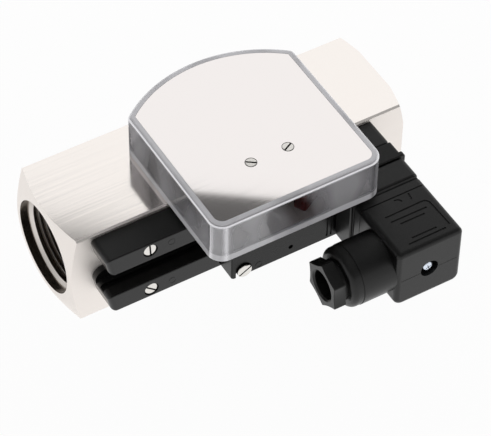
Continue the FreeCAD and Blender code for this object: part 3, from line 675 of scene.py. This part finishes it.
def ring_path(middle: Point, radius: float) -> list[Point]:
    """Return points of an upright circle that faces the front.

    Args:
        middle: Its middle in millimetres.
        radius: Its radius in millimetres.

    Returns:
        The points in order.
    """
    x, y, z = middle
    turns = (math.radians(angle) for angle in range(0, 360, RING_STEP))
    return [(x + radius * math.cos(turn), y, z + radius * math.sin(turn)) for turn in turns]


class GrowthTree:
    """A Geometry Nodes tree with named sizes that grows a plain mesh from a start mesh."""

    def __init__(self, name: str, sizes: dict[str, Socket]) -> None:
        """Make the tree with its inputs.

        Args:
            name: Name of the tree.
            sizes: Name and kind of each input.
        """
        self.tree = bpy.data.node_groups.new(name, "GeometryNodeTree")
        sockets = self.tree.interface
        sockets.new_socket("Start", in_out="INPUT", socket_type="NodeSocketGeometry")
        for label, kind in (sizes | {"Material": Socket.MATERIAL}).items():
            sockets.new_socket(label, in_out="INPUT", socket_type=kind.value)
        sockets.new_socket("Grown", in_out="OUTPUT", socket_type="NodeSocketGeometry")
        self.given = add_node(self.tree, "NodeGroupInput").outputs

    def add(self, kind: str, inputs: Inputs | None = None, **settings: object) -> Node:
        """Add a node to this tree."""
        return add_node(self.tree, kind, inputs, **settings)

    def end(self, geometry: Node) -> None:
        """Close the tree with plain geometry and its material.

        Args:
            geometry: Node that makes the geometry.
        """
        real = self.add("GeometryNodeRealizeInstances", {"Geometry": geometry})
        skin = {"Geometry": real, "Material": self.given["Material"]}
        self.add("NodeGroupOutput", {"Grown": self.add("GeometryNodeSetMaterial", skin)})

    def lay(self, path: Node, section: Node, rotation: Point) -> None:
        """Close the tree with a section swept along a path, turned and set on each start point.

        Args:
            path: Node that makes the path.
            section: Node that makes the section.
            rotation: Turn of the swept form in radians.
        """
        sweep = {"Curve": path, "Profile Curve": section, "Fill Caps": True}
        swept = self.add("GeometryNodeCurveToMesh", sweep)
        laid = self.add("GeometryNodeTransform", {"Geometry": swept, "Rotation": rotation})
        set_in = {"Points": self.given["Start"], "Instance": laid}
        self.end(self.add("GeometryNodeInstanceOnPoints", set_in))

    def grow(self, start: Mesh, sizes: dict[str, object]) -> Mesh:
        """Run the tree once.

        Args:
            start: Mesh that the tree starts from.
            sizes: Value of each named input.

        Returns:
            The plain mesh, smooth apart from its sharp edges.
        """
        seed = linked("start", start)
        modifier = seed.modifiers.new("growth", "NODES")
        modifier.node_group = self.tree
        for item in self.tree.interface.items_tree:
            if item.name in sizes:
                modifier[item.identifier] = sizes[item.name]
        mesh = plain_mesh(seed, SMALL_FLAT)
        seed.modifiers.clear()
        bpy.data.objects.remove(seed)
        return mesh


@functools.cache
def screw_tree() -> GrowthTree:
    """Make the tree that sets screws on points, each turned by the points' attribute.

    Returns:
        The tree. A screw's head faces +Z with its top at the point.
    """
    lengths = dict.fromkeys((*SCREW_LENGTHS, "Length"), Socket.LENGTH)
    growth = GrowthTree("driven_screws", lengths | {"Cross": Socket.CHOICE})
    add = growth.add
    given = growth.given
    under = add("ShaderNodeMath", {0: 0.0, 1: given["Head Height"]}, operation="SUBTRACT")
    below = add("ShaderNodeCombineXYZ", {"Z": under})
    line = add("GeometryNodeCurvePrimitiveLine", {"Start": below, "End": (0, 0, 0)})
    rings = add("GeometryNodeResampleCurve", {"Curve": line, "Count": HEAD_RINGS})
    place = add("GeometryNodeInputPosition")
    height = add("ShaderNodeSeparateXYZ", {"Vector": place}).outputs["Z"]
    rounding = add("ShaderNodeMath", {0: 0.0, 1: given["Edge Round"]}, operation="SUBTRACT")
    rise = add("ShaderNodeMapRange", dict(zip(RANGE, (height, rounding, 0.0, 0.0, 1.0))))
    square = add("ShaderNodeMath", {0: rise, 1: rise}, operation="MULTIPLY")
    rest = add("ShaderNodeMath", {0: 1.0, 1: square}, operation="SUBTRACT")
    arc = add("ShaderNodeMath", {0: rest}, operation="SQRT")
    inward = add("ShaderNodeMath", {0: 1.0, 1: arc}, operation="SUBTRACT")
    drop = add("ShaderNodeMath", {0: inward, 1: given["Edge Round"]}, operation="MULTIPLY")
    radius = add("ShaderNodeMath", {0: given["Head Radius"], 1: drop}, operation="SUBTRACT")
    circle = add("GeometryNodeCurvePrimitiveCircle", {"Resolution": HEAD_FACETS, "Radius": 1.0})
    turned = {"Profile Curve": circle, "Fill Caps": True}
    head = add("GeometryNodeCurveToMesh", turned | {"Curve": rings, "Scale": radius})
    tip = add("ShaderNodeMath", {0: 0.0, 1: given["Length"]}, operation="SUBTRACT")
    inner = add("ShaderNodeMath", {0: under, 1: SHANK_START}, operation="MULTIPLY")
    ends = [add("ShaderNodeCombineXYZ", {"Z": level}) for level in (tip, inner)]
    axis = add("GeometryNodeCurvePrimitiveLine", dict(zip(("Start", "End"), ends)))
    shank = add("GeometryNodeCurveToMesh", turned | {"Curve": axis, "Scale": given["Shank Radius"]})
    screw = add("GeometryNodeMeshBoolean", {"Mesh 2": [head, shank]}, operation="UNION", solver="EXACT")
    deep = add("ShaderNodeMath", {0: given["Slot Depth"], 1: 2.0}, operation="MULTIPLY")
    size = add("ShaderNodeCombineXYZ", {"X": given["Slot Length"], "Y": given["Slot Width"], "Z": deep})
    slot = add("GeometryNodeMeshCube", {"Size": size})
    crossing = add("GeometryNodeTransform", {"Geometry": slot, "Rotation": (0, 0, math.radians(90))})
    choice = {"Switch": given["Cross"], "True": crossing}
    second = add("GeometryNodeSwitch", choice, input_type="GEOMETRY")
    meshes = {"Mesh 1": screw, "Mesh 2": [slot, second]}
    driven = add("GeometryNodeMeshBoolean", meshes, operation="DIFFERENCE", solver="EXACT")
    turn = add("GeometryNodeInputNamedAttribute", {"Name": "turn"}, data_type="FLOAT_VECTOR")
    rotation = add("FunctionNodeEulerToRotation", {"Euler": turn})
    set_in = {"Points": given["Start"], "Instance": driven, "Rotation": rotation}
    growth.end(add("GeometryNodeInstanceOnPoints", set_in))
    return growth


@functools.cache
def ridge_tree() -> GrowthTree:
    """Make the tree that sweeps a round ridge along the start mesh's edges.

    Returns:
        The tree.
    """
    lengths = dict.fromkeys(("Ridge Radius", "Corner Radius"), Socket.LENGTH)
    growth = GrowthTree("moulded_ridges", lengths)
    given = growth.given
    path = growth.add("GeometryNodeMeshToCurve", {"Mesh": given["Start"]})
    rounding = {"Count": CORNER_STEPS, "Radius": given["Corner Radius"], "Limit Radius": True}
    soft = growth.add("GeometryNodeFilletCurve", {"Curve": path} | rounding, mode="POLY")
    circle = {"Resolution": RIDGE_FACETS, "Radius": given["Ridge Radius"]}
    section = growth.add("GeometryNodeCurvePrimitiveCircle", circle)
    sweep = {"Curve": soft, "Profile Curve": section, "Fill Caps": True}
    growth.end(growth.add("GeometryNodeCurveToMesh", sweep))
    return growth


def thread_tree() -> GrowthTree:
    """Make the tree that sweeps a thread groove along a helix at each start point, along X from above.

    Returns:
        The tree.
    """
    lengths = dict.fromkeys(("Crest Radius", "Groove Depth", "Pitch"), Socket.LENGTH)
    growth = GrowthTree("pipe_thread", lengths | {"Turns": Socket.COUNT})
    add = growth.add
    given = growth.given
    rise = add("ShaderNodeMath", {0: given["Pitch"], 1: given["Turns"]}, operation="MULTIPLY")
    radii = dict.fromkeys(("Start Radius", "End Radius"), given["Crest Radius"])
    turns = {"Resolution": THREAD_STEPS, "Rotations": given["Turns"], "Height": rise}
    helix = add("GeometryNodeCurveSpiral", radii | turns)
    upright = add("GeometryNodeSetCurveNormal", {"Curve": helix}, mode="Z_UP")
    wall, root = (
        add("ShaderNodeMath", {0: given["Groove Depth"], 1: share}, operation="MULTIPLY")
        for share in (WALL_SHARE, -1.0)
    )
    halves = {
        share: add("ShaderNodeMath", {0: given["Pitch"], 1: share}, operation="MULTIPLY")
        for share in (-MOUTH_SHARE, -ROOT_SHARE, ROOT_SHARE, MOUTH_SHARE)
    }
    corners = ((wall, MOUTH_SHARE), (root, ROOT_SHARE), (root, -ROOT_SHARE), (wall, -MOUTH_SHARE))
    points = {
        f"Point {number}": add("ShaderNodeCombineXYZ", {"X": level, "Y": halves[share]})
        for number, (level, share) in enumerate(corners, start=1)
    }
    section = add("GeometryNodeCurvePrimitiveQuadrilateral", points, mode="POINTS")
    growth.lay(upright, section, (math.pi, -math.pi / 2, 0))
    return growth


def coil_tree() -> GrowthTree:
    """Make the tree that winds a wire along X from each start point.

    Returns:
        The tree.
    """
    lengths = dict.fromkeys(("Coil Radius", "Wire Radius", "Length"), Socket.LENGTH)
    growth = GrowthTree("wound_wire", lengths | {"Turns": Socket.COUNT})
    given = growth.given
    radii = dict.fromkeys(("Start Radius", "End Radius"), given["Coil Radius"])
    turns = {"Resolution": COIL_STEPS, "Rotations": given["Turns"], "Height": given["Length"]}
    helix = growth.add("GeometryNodeCurveSpiral", radii | turns)
    circle = {"Resolution": WIRE_FACETS, "Radius": given["Wire Radius"]}
    section = growth.add("GeometryNodeCurvePrimitiveCircle", circle)
    growth.lay(helix, section, (0, math.radians(90), 0))
    return growth


def moulded_ridges(
    name: str, paths: list[list[Point]], closed: bool, radius: float, corner: float, finish: Finish
) -> Mesh:
    """Sweep round ridges along paths and return their mesh. Lengths in millimetres."""
    sizes = {"Ridge Radius": radius * MM, "Corner Radius": corner * MM, "Material": finish.material()}
    return ridge_tree().grow(path_mesh(name, paths, closed), sizes)


@dataclass
class ScrewSet:
    """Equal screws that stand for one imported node. Lengths in millimetres."""

    node: str
    piece: str
    body: str
    faces: Axis
    head_radius: float
    head_height: float
    edge_round: float
    shank_radius: float
    slot_width: float
    slot_length: float
    slot_depth: float
    drive: Drive
    turns: tuple[float, ...]
    recess_normal: float = 0.35
    bottom_normal: float = 0.99
    bottom_share: float = 0.7
    finish: Finish = BRIGHT

    def across(self, low: float, high: float) -> list[float]:
        """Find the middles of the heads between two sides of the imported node's box.

        Args:
            low: Lower side in metres.
            high: Upper side in metres.

        Returns:
            The middle of one head, or of a head at each side.
        """
        inset = self.head_radius * MM
        if high - low < LONE_HEAD * 2 * inset:
            return [(low + high) / 2]
        return [low + inset, high - inset]

    def places(self) -> list[Vector]:
        """Read the heads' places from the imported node's box.

        Returns:
            The middle of each head's outer face.
        """
        low, high = (Vector(corner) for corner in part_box(self.node))
        columns = self.across(low.x, high.x)
        if self.faces is Axis.UP:
            return [Vector((x, (low.y + high.y) / 2, high.z)) for x in columns]
        rows = self.across(low.z, high.z)[::-1]
        return [Vector((x, low.y, z)) for x in columns for z in rows]

    def length(self) -> float:
        """Return the screw's whole length in metres."""
        low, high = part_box(self.node)
        return high[2] - low[2] if self.faces is Axis.UP else high[1] - low[1]

    def build(self) -> Mesh:
        """Grow the screws.

        Returns:
            Their mesh.
        """
        spots = self.places()
        start = bpy.data.meshes.new(self.piece + "_points")
        start.from_pydata(spots, [], [])
        turn = start.attributes.new("turn", "FLOAT_VECTOR", "POINT")
        for index in range(len(spots)):
            angle = math.radians(self.turns[index % len(self.turns)])
            turn.data[index].vector = (self.faces.turn() @ Matrix.Rotation(angle, 4, "Z")).to_euler()
        sizes = {label: getattr(self, label.lower().replace(" ", "_")) * MM for label in SCREW_LENGTHS}
        sizes |= {"Length": self.length(), "Cross": self.drive.value, "Material": self.finish.material()}
        mesh = screw_tree().grow(start, sizes)
        self.paint_recess_shade(mesh, spots[0])
        return mesh

    def paint_recess_shade(self, mesh: Mesh, top: Vector) -> None:
        """Give the slots and the upright sides a dark grey finish as painted shade.

        Args:
            mesh: The screws.
            top: A point in the plane of the heads' tops.
        """
        mesh.materials.append(RECESS_SHADE_STEEL.material())
        outward = self.faces.turn().to_3x3() @ Vector((0, 0, 1))
        # Slot walls, slot bottoms and the heads' upright sides get the painted shade.
        for face in mesh.polygons:
            facing = face.normal.dot(outward)
            depth = (top - face.center).dot(outward)
            bottom = facing > self.bottom_normal and depth > self.bottom_share * self.slot_depth * MM
            if facing < self.recess_normal or bottom:
                face.material_index = len(mesh.materials) - 1


@dataclass
class SubAssembly:
    """A sub-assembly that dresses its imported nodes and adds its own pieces."""

    finishes: ClassVar[dict[str, Finish]] = {}

    def dress(self) -> None:
        """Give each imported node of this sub-assembly its finish."""
        for name, finish in self.finishes.items():
            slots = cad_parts[name].data.materials
            slots.clear()
            slots.append(finish.material())
            LOG.info("%s: %s", name, finish.name)

    def build(self) -> None:
        """Add this sub-assembly's own pieces."""
        raise NotImplementedError

    def place(
        self, name: str, mesh: Mesh, body: str, slot: str, node: str | None = None
    ) -> bpy.types.Object:
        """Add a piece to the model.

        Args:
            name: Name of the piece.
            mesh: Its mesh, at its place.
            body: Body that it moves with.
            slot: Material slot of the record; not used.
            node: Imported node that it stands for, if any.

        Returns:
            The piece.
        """
        mesh.name = name
        piece = linked(name, mesh)
        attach(piece, body)
        if node:
            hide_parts(node)
        LOG.info("%s rides on %s", name, body)
        return piece

    def add_screws(self, screws: ScrewSet) -> None:
        """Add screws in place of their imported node."""
        self.place(screws.piece, screws.build(), screws.body, "plated_screw", screws.node)


@dataclass
class FlowBody(SubAssembly):
    """Square bar with its threaded ports, and the float inside. Lengths in millimetres."""

    crest_radius: float = 19.475
    root_radius: float = 20.955
    pitch: float = 2.309
    turns: int = 7
    thread_starts: tuple[float, float] = (4.3, 141.8)
    mouth_radius: float = 21.6
    mouth_depth: float = 1.8
    mouth_ends: tuple[float, float] = (0.0, 162.3)
    mouth_facets: int = 128
    lead_radius: float = 20.9
    overrun: float = 2.5
    inside_radius: float = 22.0
    thread_reach: tuple[float, float] = (19.3, 21.2)
    lead_normal: float = 0.6
    step_normal: float = 0.95
    spring_radius: float = 7.0
    wire_radius: float = 0.65
    spring_turns: int = 8
    float_travel: float = 40.0

    finishes: ClassVar[dict[str, Finish]] = {
        "meter_body": NICKEL,
        "slotted_nozzle": BRASS,
        "inlet_retaining_ring": STEEL,
        "spring_seat": BRASS,
        "outlet_retaining_ring": STEEL,
        "float_piston": BRASS,
        "float_magnet": FERRITE,
        "magnet_cap": BRASS,
        "return_spring": STEEL,
    }

    def dress_ports(self, bar: Mesh) -> None:
        """Give the ports' walls a dark nickel as painted shade in the bore, and a lighter one on the
        lead-in and the thread's outer flanks, which face the opening.

        Args:
            bar: The threaded bar.
        """
        first = len(bar.materials)
        for finish in (BORE_SHADE_NICKEL, THREAD_NICKEL):
            bar.materials.append(finish.material())
        nearest, furthest = self.thread_reach
        middle = sum(self.mouth_ends) / 2 * MM
        for face in bar.polygons:
            radius = math.hypot(face.center.y, face.center.z) / MM
            outward = math.copysign(face.normal.x, face.normal.x * (face.center.x - middle))
            if radius > self.inside_radius or abs(outward) > self.step_normal:
                continue
            # Faces turned towards the opening keep the lighter nickel; the rest get the painted bore
            # shade.
            lit = nearest < radius < furthest and outward > self.lead_normal
            face.material_index = first + lit

    def mouths(self) -> Mesh:
        """Make two plugs with a cone each, which cut a recess and a lead-in before each port's thread.

        Returns:
            The plugs. They reach past the walls, and their points lie beside the bar's own seams.
        """
        work = bmesh.new()
        lead = self.lead_radius - self.crest_radius
        profile = (
            (-self.overrun, self.mouth_radius),
            (self.mouth_depth, self.mouth_radius),
            (self.mouth_depth, self.lead_radius),
            (self.mouth_depth + lead + self.overrun, self.crest_radius - self.overrun),
        )
        angles = [math.tau * (step + 0.5) / self.mouth_facets for step in range(self.mouth_facets)]
        for end, inward in zip(self.mouth_ends, (1, -1)):
            rings = []
            for along, radius in profile:
                x = end + inward * along
                ring = (Vector((x, radius * math.cos(a), radius * math.sin(a))) for a in angles)
                rings.append([work.verts.new(point * MM) for point in ring])
            work.faces.new(rings[0])
            work.faces.new(rings[-1])
            for near, far in zip(rings, rings[1:]):
                for i in range(self.mouth_facets):
                    work.faces.new((near[i - 1], near[i], far[i], far[i - 1]))
        bmesh.ops.recalc_face_normals(work, faces=work.faces)
        return mesh_of(work, "mouths")

    def wind_spring(self) -> None:
        """Wind the return spring between the float and its seat."""
        low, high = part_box("return_spring")
        wire = self.wire_radius * MM
        start = bpy.data.meshes.new("spring_start")
        start.from_pydata([(low[0] + wire, 0, 0)], [], [])
        sizes = {
            "Coil Radius": self.spring_radius * MM,
            "Wire Radius": wire,
            "Length": high[0] - low[0] - 2 * wire,
            "Turns": self.spring_turns,
            "Material": STEEL.material(),
        }
        coil = coil_tree().grow(start, sizes)
        spring = self.place("wound_spring", coil, "meter", "spring_steel", "return_spring")
        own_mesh(spring)

    def build(self) -> None:
        """Cut the pipe thread and the mouth into both ports and wind the spring."""
        start = path_mesh("ports", [[(x, 0, 0)] for x in self.thread_starts], closed=False)
        sizes = {
            "Crest Radius": self.crest_radius * MM,
            "Groove Depth": (self.root_radius - self.crest_radius) * MM,
            "Pitch": self.pitch * MM,
            "Turns": self.turns,
            "Material": NICKEL.material(),
        }
        bar = merged_copy("meter_body")
        for tool in (thread_tree().grow(start, sizes), self.mouths()):
            bar = carved(bar, tool, NICKEL)
        self.dress_ports(bar)
        self.place("threaded_bar", bar, "meter", "nickel_plated_brass", "meter_body")
        self.wind_spring()


@dataclass
class IndicatorHead(SubAssembly):
    """Clear cover with its plate, screws and pointer. Lengths in millimetres."""

    screws: ScrewSet = field(
        default_factory=lambda: ScrewSet(
            "cover_screws", "slotted_cover_screws", "meter", Axis.UP,
            head_radius=2.4, head_height=0.9, edge_round=0.15, shank_radius=1.5,
            slot_width=0.8, slot_length=5.2, slot_depth=0.5, drive=Drive.SLOT, turns=(-36.0, 27.0),
        )
    )

    finishes: ClassVar[dict[str, Finish]] = {
        "indicator_base": PALE_GREY,
        "base_screws": BRIGHT,
        "indicator_cover": CLEAR,
        "dial_plate": MIRROR,
        "cover_posts": BRASS,
        "cover_screws": BRIGHT,
        "pivot_pin": STEEL,
        "pivot_clip": STEEL,
        "pointer_hub": BRASS,
        "pointer_blade": ENAMEL,
        "follower_magnet": FERRITE,
    }

    def build(self) -> None:
        """Add the cover's screws."""
        self.add_screws(self.screws)


@dataclass
class GuideRails(SubAssembly):
    """Two rails on the body's front with their screws and ejector marks. Lengths in millimetres."""

    mark_radius: float = 1.6
    mark_x: float = 39.0
    mark_z: tuple[float, float] = (18.7, -6.0)
    front: float = -39.5
    ridge: float = 0.12
    screws: ScrewSet = field(
        default_factory=lambda: ScrewSet(
            "rail_screws", "slotted_rail_screws", "meter", Axis.FRONT,
            head_radius=3.2, head_height=2.6, edge_round=0.6, shank_radius=2.0,
            slot_width=0.8, slot_length=7.0, slot_depth=0.8, drive=Drive.SLOT, turns=(93.0, -42.0),
        )
    )

    finishes: ClassVar[dict[str, Finish]] = {
        "upper_rail": BLACK,
        "lower_rail": BLACK,
        "rail_screws": BRIGHT,
    }

    def build(self) -> None:
        """Add the rails' screws and the ejector marks."""
        self.add_screws(self.screws)
        rings = [ring_path((self.mark_x, self.front, z), self.mark_radius) for z in self.mark_z]
        marks = moulded_ridges("ejector_rings", rings, True, self.ridge, 0.0, BLACK)
        self.place("rail_ejector_marks", marks, "meter", "black_plastic")


@dataclass
class SwitchCarriage(SubAssembly):
    """Sliding contact housing with its clamp screw and an ejector mark. Lengths in millimetres."""

    mark_radius: float = 1.6
    mark: Point = (76.1, -49.2, -7.4)
    ridge: float = 0.12
    screw: ScrewSet = field(
        default_factory=lambda: ScrewSet(
            "clamp_screw", "slotted_clamp_screw", "clamp_screw_unit", Axis.FRONT,
            head_radius=3.5, head_height=3.4, edge_round=0.5, shank_radius=2.0,
            slot_width=0.8, slot_length=7.6, slot_depth=0.8, drive=Drive.SLOT, turns=(30.0,),
        )
    )

    finishes: ClassVar[dict[str, Finish]] = {
        "switch_carriage": SLIDE_BLACK,
        "clamp_insert": BRASS,
        "clamp_screw": BRIGHT,
        "reed_switch": GLASS,
    }

    def build(self) -> None:
        """Add the clamp screw and the ejector mark."""
        self.add_screws(self.screw)
        ring = ring_path(self.mark, self.mark_radius)
        mark = moulded_ridges("carriage_ring", [ring], True, self.ridge, 0.0, SLIDE_BLACK)
        self.place("carriage_ejector_mark", mark, "switch_unit", "black_plastic")


@dataclass
class PlugConnector(SubAssembly):
    """Square plug with its housing, screw and cable gland. Lengths in millimetres."""

    top: float = 22.35
    top_lines: tuple[Line, ...] = (
        ((121.8, -75.8), (143.1, -75.4), (143.5, -92.1)),
        ((122.6, -79.1), (140.4, -79.2)),
        ((125.6, -81.8), (137.7, -81.8)),
        ((125.5, -90.8), (137.8, -90.8)),
        ((122.4, -93.2), (141.1, -93.0)),
        ((114.4, -67.5), (147.8, -67.5)),
        ((138.0, -68.6), (137.4, -72.2)),
        ((130.4, -69.4), (132.4, -68.9), (133.2, -71.3)),
    )
    seam_y: float = -97.7
    seam_z: float = 5.6
    seams: Line = ((117.0, 126.6), (135.6, 145.2))
    line_radius: float = 0.4
    bead_radius: float = 0.5
    bead_half: tuple[float, float] = (15.9, 15.5)
    bead_y: float = -62.3
    axis: tuple[float, float] = (131.1, 6.35)
    corner: float = 2.6
    screw: ScrewSet = field(
        default_factory=lambda: ScrewSet(
            "connector_screw", "cross_recess_screw", "connector_screw_unit", Axis.FRONT,
            head_radius=2.75, head_height=2.2, edge_round=1.7, shank_radius=1.5,
            slot_width=0.4, slot_length=2.6, slot_depth=0.5, drive=Drive.CROSS, turns=(20.0,),
            recess_normal=-0.5, finish=ZINC,
        )
    )

    finishes: ClassVar[dict[str, Finish]] = {
        "plug_base": PLUG_BLACK,
        "plug_nut": BRASS,
        "contact_blades": BRASS,
        "plug_gasket": RUBBER,
        "terminal_block": PLUG_BLACK,
        "contact_sockets": BRASS,
        "connector_housing": PLUG_BLACK,
        "connector_screw": ZINC,
        "gland_nut": PLUG_BLACK,
        "gland_washer": STEEL,
        "gland_seal": RUBBER,
    }

    def lines(self) -> list[list[Point]]:
        """Return the moulded lines: those on top, and the front's seam on both sides of the screw."""
        marks = [[(x, y, self.top) for x, y in line] for line in self.top_lines]
        return marks + [[(x, self.seam_y, self.seam_z) for x in seam] for seam in self.seams]

    def bead(self) -> list[Point]:
        """Return the corners of the bead round the gasket's edge."""
        (x, z), (width, height) = self.axis, self.bead_half
        return [(x + width * i, self.bead_y, z + height * k) for i, k in SQUARE_CORNERS]

    def build(self) -> None:
        """Add the cross recess screw, the lines in the housing and the gasket's bead."""
        self.add_screws(self.screw)
        radius, corner = self.line_radius, self.corner
        lines = moulded_ridges("housing_lines", self.lines(), False, radius, corner, PLUG_BLACK)
        shell = carved(merged_copy("connector_housing"), lines, PLUG_BLACK)
        self.place("lined_housing", shell, "switch_unit", "black_plastic", "connector_housing")
        bead = moulded_ridges("bead_path", [self.bead()], True, self.bead_radius, corner, RUBBER)
        self.place("gasket_bead", bead, "switch_unit", "black_rubber")


@dataclass
class Studio:
    """White table, a soft light card, the surroundings and the camera. Millimetres and degrees."""

    floor_z: float = -25.05
    floor_size: float = 8000.0
    floor_colour: str = "#f4f4f4"
    card_height: float = 420.0
    card_width: float = 1800.0
    card_depth: float = 1400.0
    card_edge: float = 338.0
    card_turn: float = -5.6
    card_level: float = 0.86
    horizon_level: float = 0.8
    zenith_level: float = 0.12
    horizon_top: float = 0.45
    horizon_fade: float = 0.1
    overhead_level: float = 0.8
    overhead_from: float = 0.93
    overhead_full: float = 0.98
    azimuth: float = -31.153
    elevation: float = 47.947
    roll: float = 0.818
    distance: float = 1100.0
    target: Point = (81.331, -28.953, 0.0)
    focal_px: float = 2540.84
    image_px: int = 491
    sensor: float = 36.0
    clip_near: float = 10.0
    clip_far: float = 50000.0
    shadow_share: float = 0.035

    def forward(self) -> Vector:
        """Return the level direction from the camera to the object."""
        turn = math.radians(self.azimuth)
        return Vector((-math.sin(turn), math.cos(turn), 0.0))

    def build_camera(self) -> None:
        """Make the camera at the photograph's place."""
        turn, rise, roll = (math.radians(a) for a in (self.azimuth, self.elevation, self.roll))
        back = Vector((math.sin(turn) * math.cos(rise), -math.cos(turn) * math.cos(rise), math.sin(rise)))
        right = (-back).cross(Vector((0, 0, 1))).normalized()
        up = right.cross(-back)
        across = right * math.cos(roll) + up * math.sin(roll)
        upward = up * math.cos(roll) - right * math.sin(roll)
        place = (Vector(self.target) + back * self.distance) * MM
        camera = linked("camera", bpy.data.cameras.new("camera"))
        camera.data.sensor_width = self.sensor
        camera.data.lens = self.focal_px * self.sensor / self.image_px
        camera.data.clip_start = self.clip_near * MM
        camera.data.clip_end = self.clip_far * MM
        turned = Matrix((across, upward, back)).transposed().to_4x4()
        camera.matrix_world = Matrix.Translation(place) @ turned
        bpy.context.scene.camera = camera

    def build_world(self) -> None:
        """Make a bright horizon and a dim ceiling with a bright middle, white to the camera itself."""
        world = bpy.data.worlds.new("studio")
        tree = cleared_tree(world)
        place = add_node(tree, "ShaderNodeTexCoord").outputs["Generated"]
        height = add_node(tree, "ShaderNodeSeparateXYZ", {"Vector": place}).outputs["Z"]
        horizon_end = self.horizon_top + self.horizon_fade
        bands = (
            (height, self.horizon_top, horizon_end, self.horizon_level, self.zenith_level),
            (height, self.overhead_from, self.overhead_full, self.zenith_level, self.overhead_level),
        )
        levels = [add_node(tree, "ShaderNodeMapRange", dict(zip(RANGE, band))) for band in bands]
        sky = add_node(tree, "ShaderNodeMath", dict(enumerate(levels)), operation="MAXIMUM")
        direct = add_node(tree, "ShaderNodeLightPath").outputs["Is Camera Ray"]
        seen = add_node(tree, "ShaderNodeMix", {"Factor": direct, "A": sky, "B": 1.0})
        light = add_node(tree, "ShaderNodeBackground", {"Color": WHITE, "Strength": seen})
        add_node(tree, "ShaderNodeOutputWorld", {"Surface": light})
        bpy.context.scene.world = world

    def build_floor(self) -> None:
        """Make the white table, which keeps a faint shadow."""
        half = self.floor_size / 2 * MM
        mesh = bpy.data.meshes.new("table")
        corners = [(half * i, half * k, self.floor_z * MM) for i, k in SQUARE_CORNERS]
        mesh.from_pydata(corners, [], [(0, 1, 2, 3)])
        material = bpy.data.materials.new("white_table")
        tree = cleared_tree(material)
        path = add_node(tree, "ShaderNodeLightPath").outputs
        seen = path["Is Camera Ray"]
        for ray in ("Is Glossy Ray", "Is Transmission Ray"):
            seen = add_node(tree, "ShaderNodeMath", {0: seen, 1: path[ray]}, operation="MAXIMUM")
        bright = 1 - self.shadow_share
        share = add_node(tree, "ShaderNodeMath", {0: seen, 1: bright}, operation="MULTIPLY")
        matt = add_node(tree, "ShaderNodeBsdfDiffuse", {"Color": linear(self.floor_colour)})
        white = add_node(tree, "ShaderNodeEmission", {"Color": WHITE, "Strength": 1.0})
        mixed = add_node(tree, "ShaderNodeMixShader", {"Fac": share, 1: matt, 2: white})
        add_node(tree, "ShaderNodeOutputMaterial", {"Surface": mixed})
        mesh.materials.append(material)
        linked("table", mesh)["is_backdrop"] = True

    def build_card(self) -> None:
        """Make the light card: level, above and behind the object, its near edge across the view."""
        lamp = bpy.data.lights.new("card", "AREA")
        lamp.shape = "RECTANGLE"
        lamp.size = self.card_width * MM
        lamp.size_y = self.card_depth * MM
        lamp.energy = self.card_level * math.pi * lamp.size * lamp.size_y
        card = linked("card", lamp)
        turn = Matrix.Rotation(math.radians(self.card_turn), 3, "Z")
        middle = self.forward() * self.card_edge + turn @ self.forward() * (self.card_depth / 2)
        card.location = (middle + Vector((0, 0, self.card_height))) * MM
        card.rotation_euler = (0, 0, math.radians(self.azimuth + self.card_turn))
        card.visible_camera = False
        card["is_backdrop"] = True

    def build(self) -> None:
        """Make the whole studio."""
        bpy.context.scene.view_settings.view_transform = "Standard"
        self.build_camera()
        self.build_world()
        self.build_floor()
        self.build_card()


def write_sizes() -> None:
    """Gather the CAD box and the dressed box as plain lists."""
    boxes = {"cad": CAD_BOX, "visual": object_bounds()}
    plain = {name: [list(corner) for corner in box] for name, box in boxes.items()}


def main() -> None:
    """Build the dressed meter and its studio."""
    logging.basicConfig(level=logging.INFO, format="%(name)s: %(message)s")
    parts = (FlowBody(), IndicatorHead(), GuideRails(), SwitchCarriage(), PlugConnector())
    for part in parts:
        part.dress()
    for part in parts:
        part.build()
    Studio().build()
    LOG.info("studio is ready")
    write_sizes()


if __name__ == "__main__":
    main()
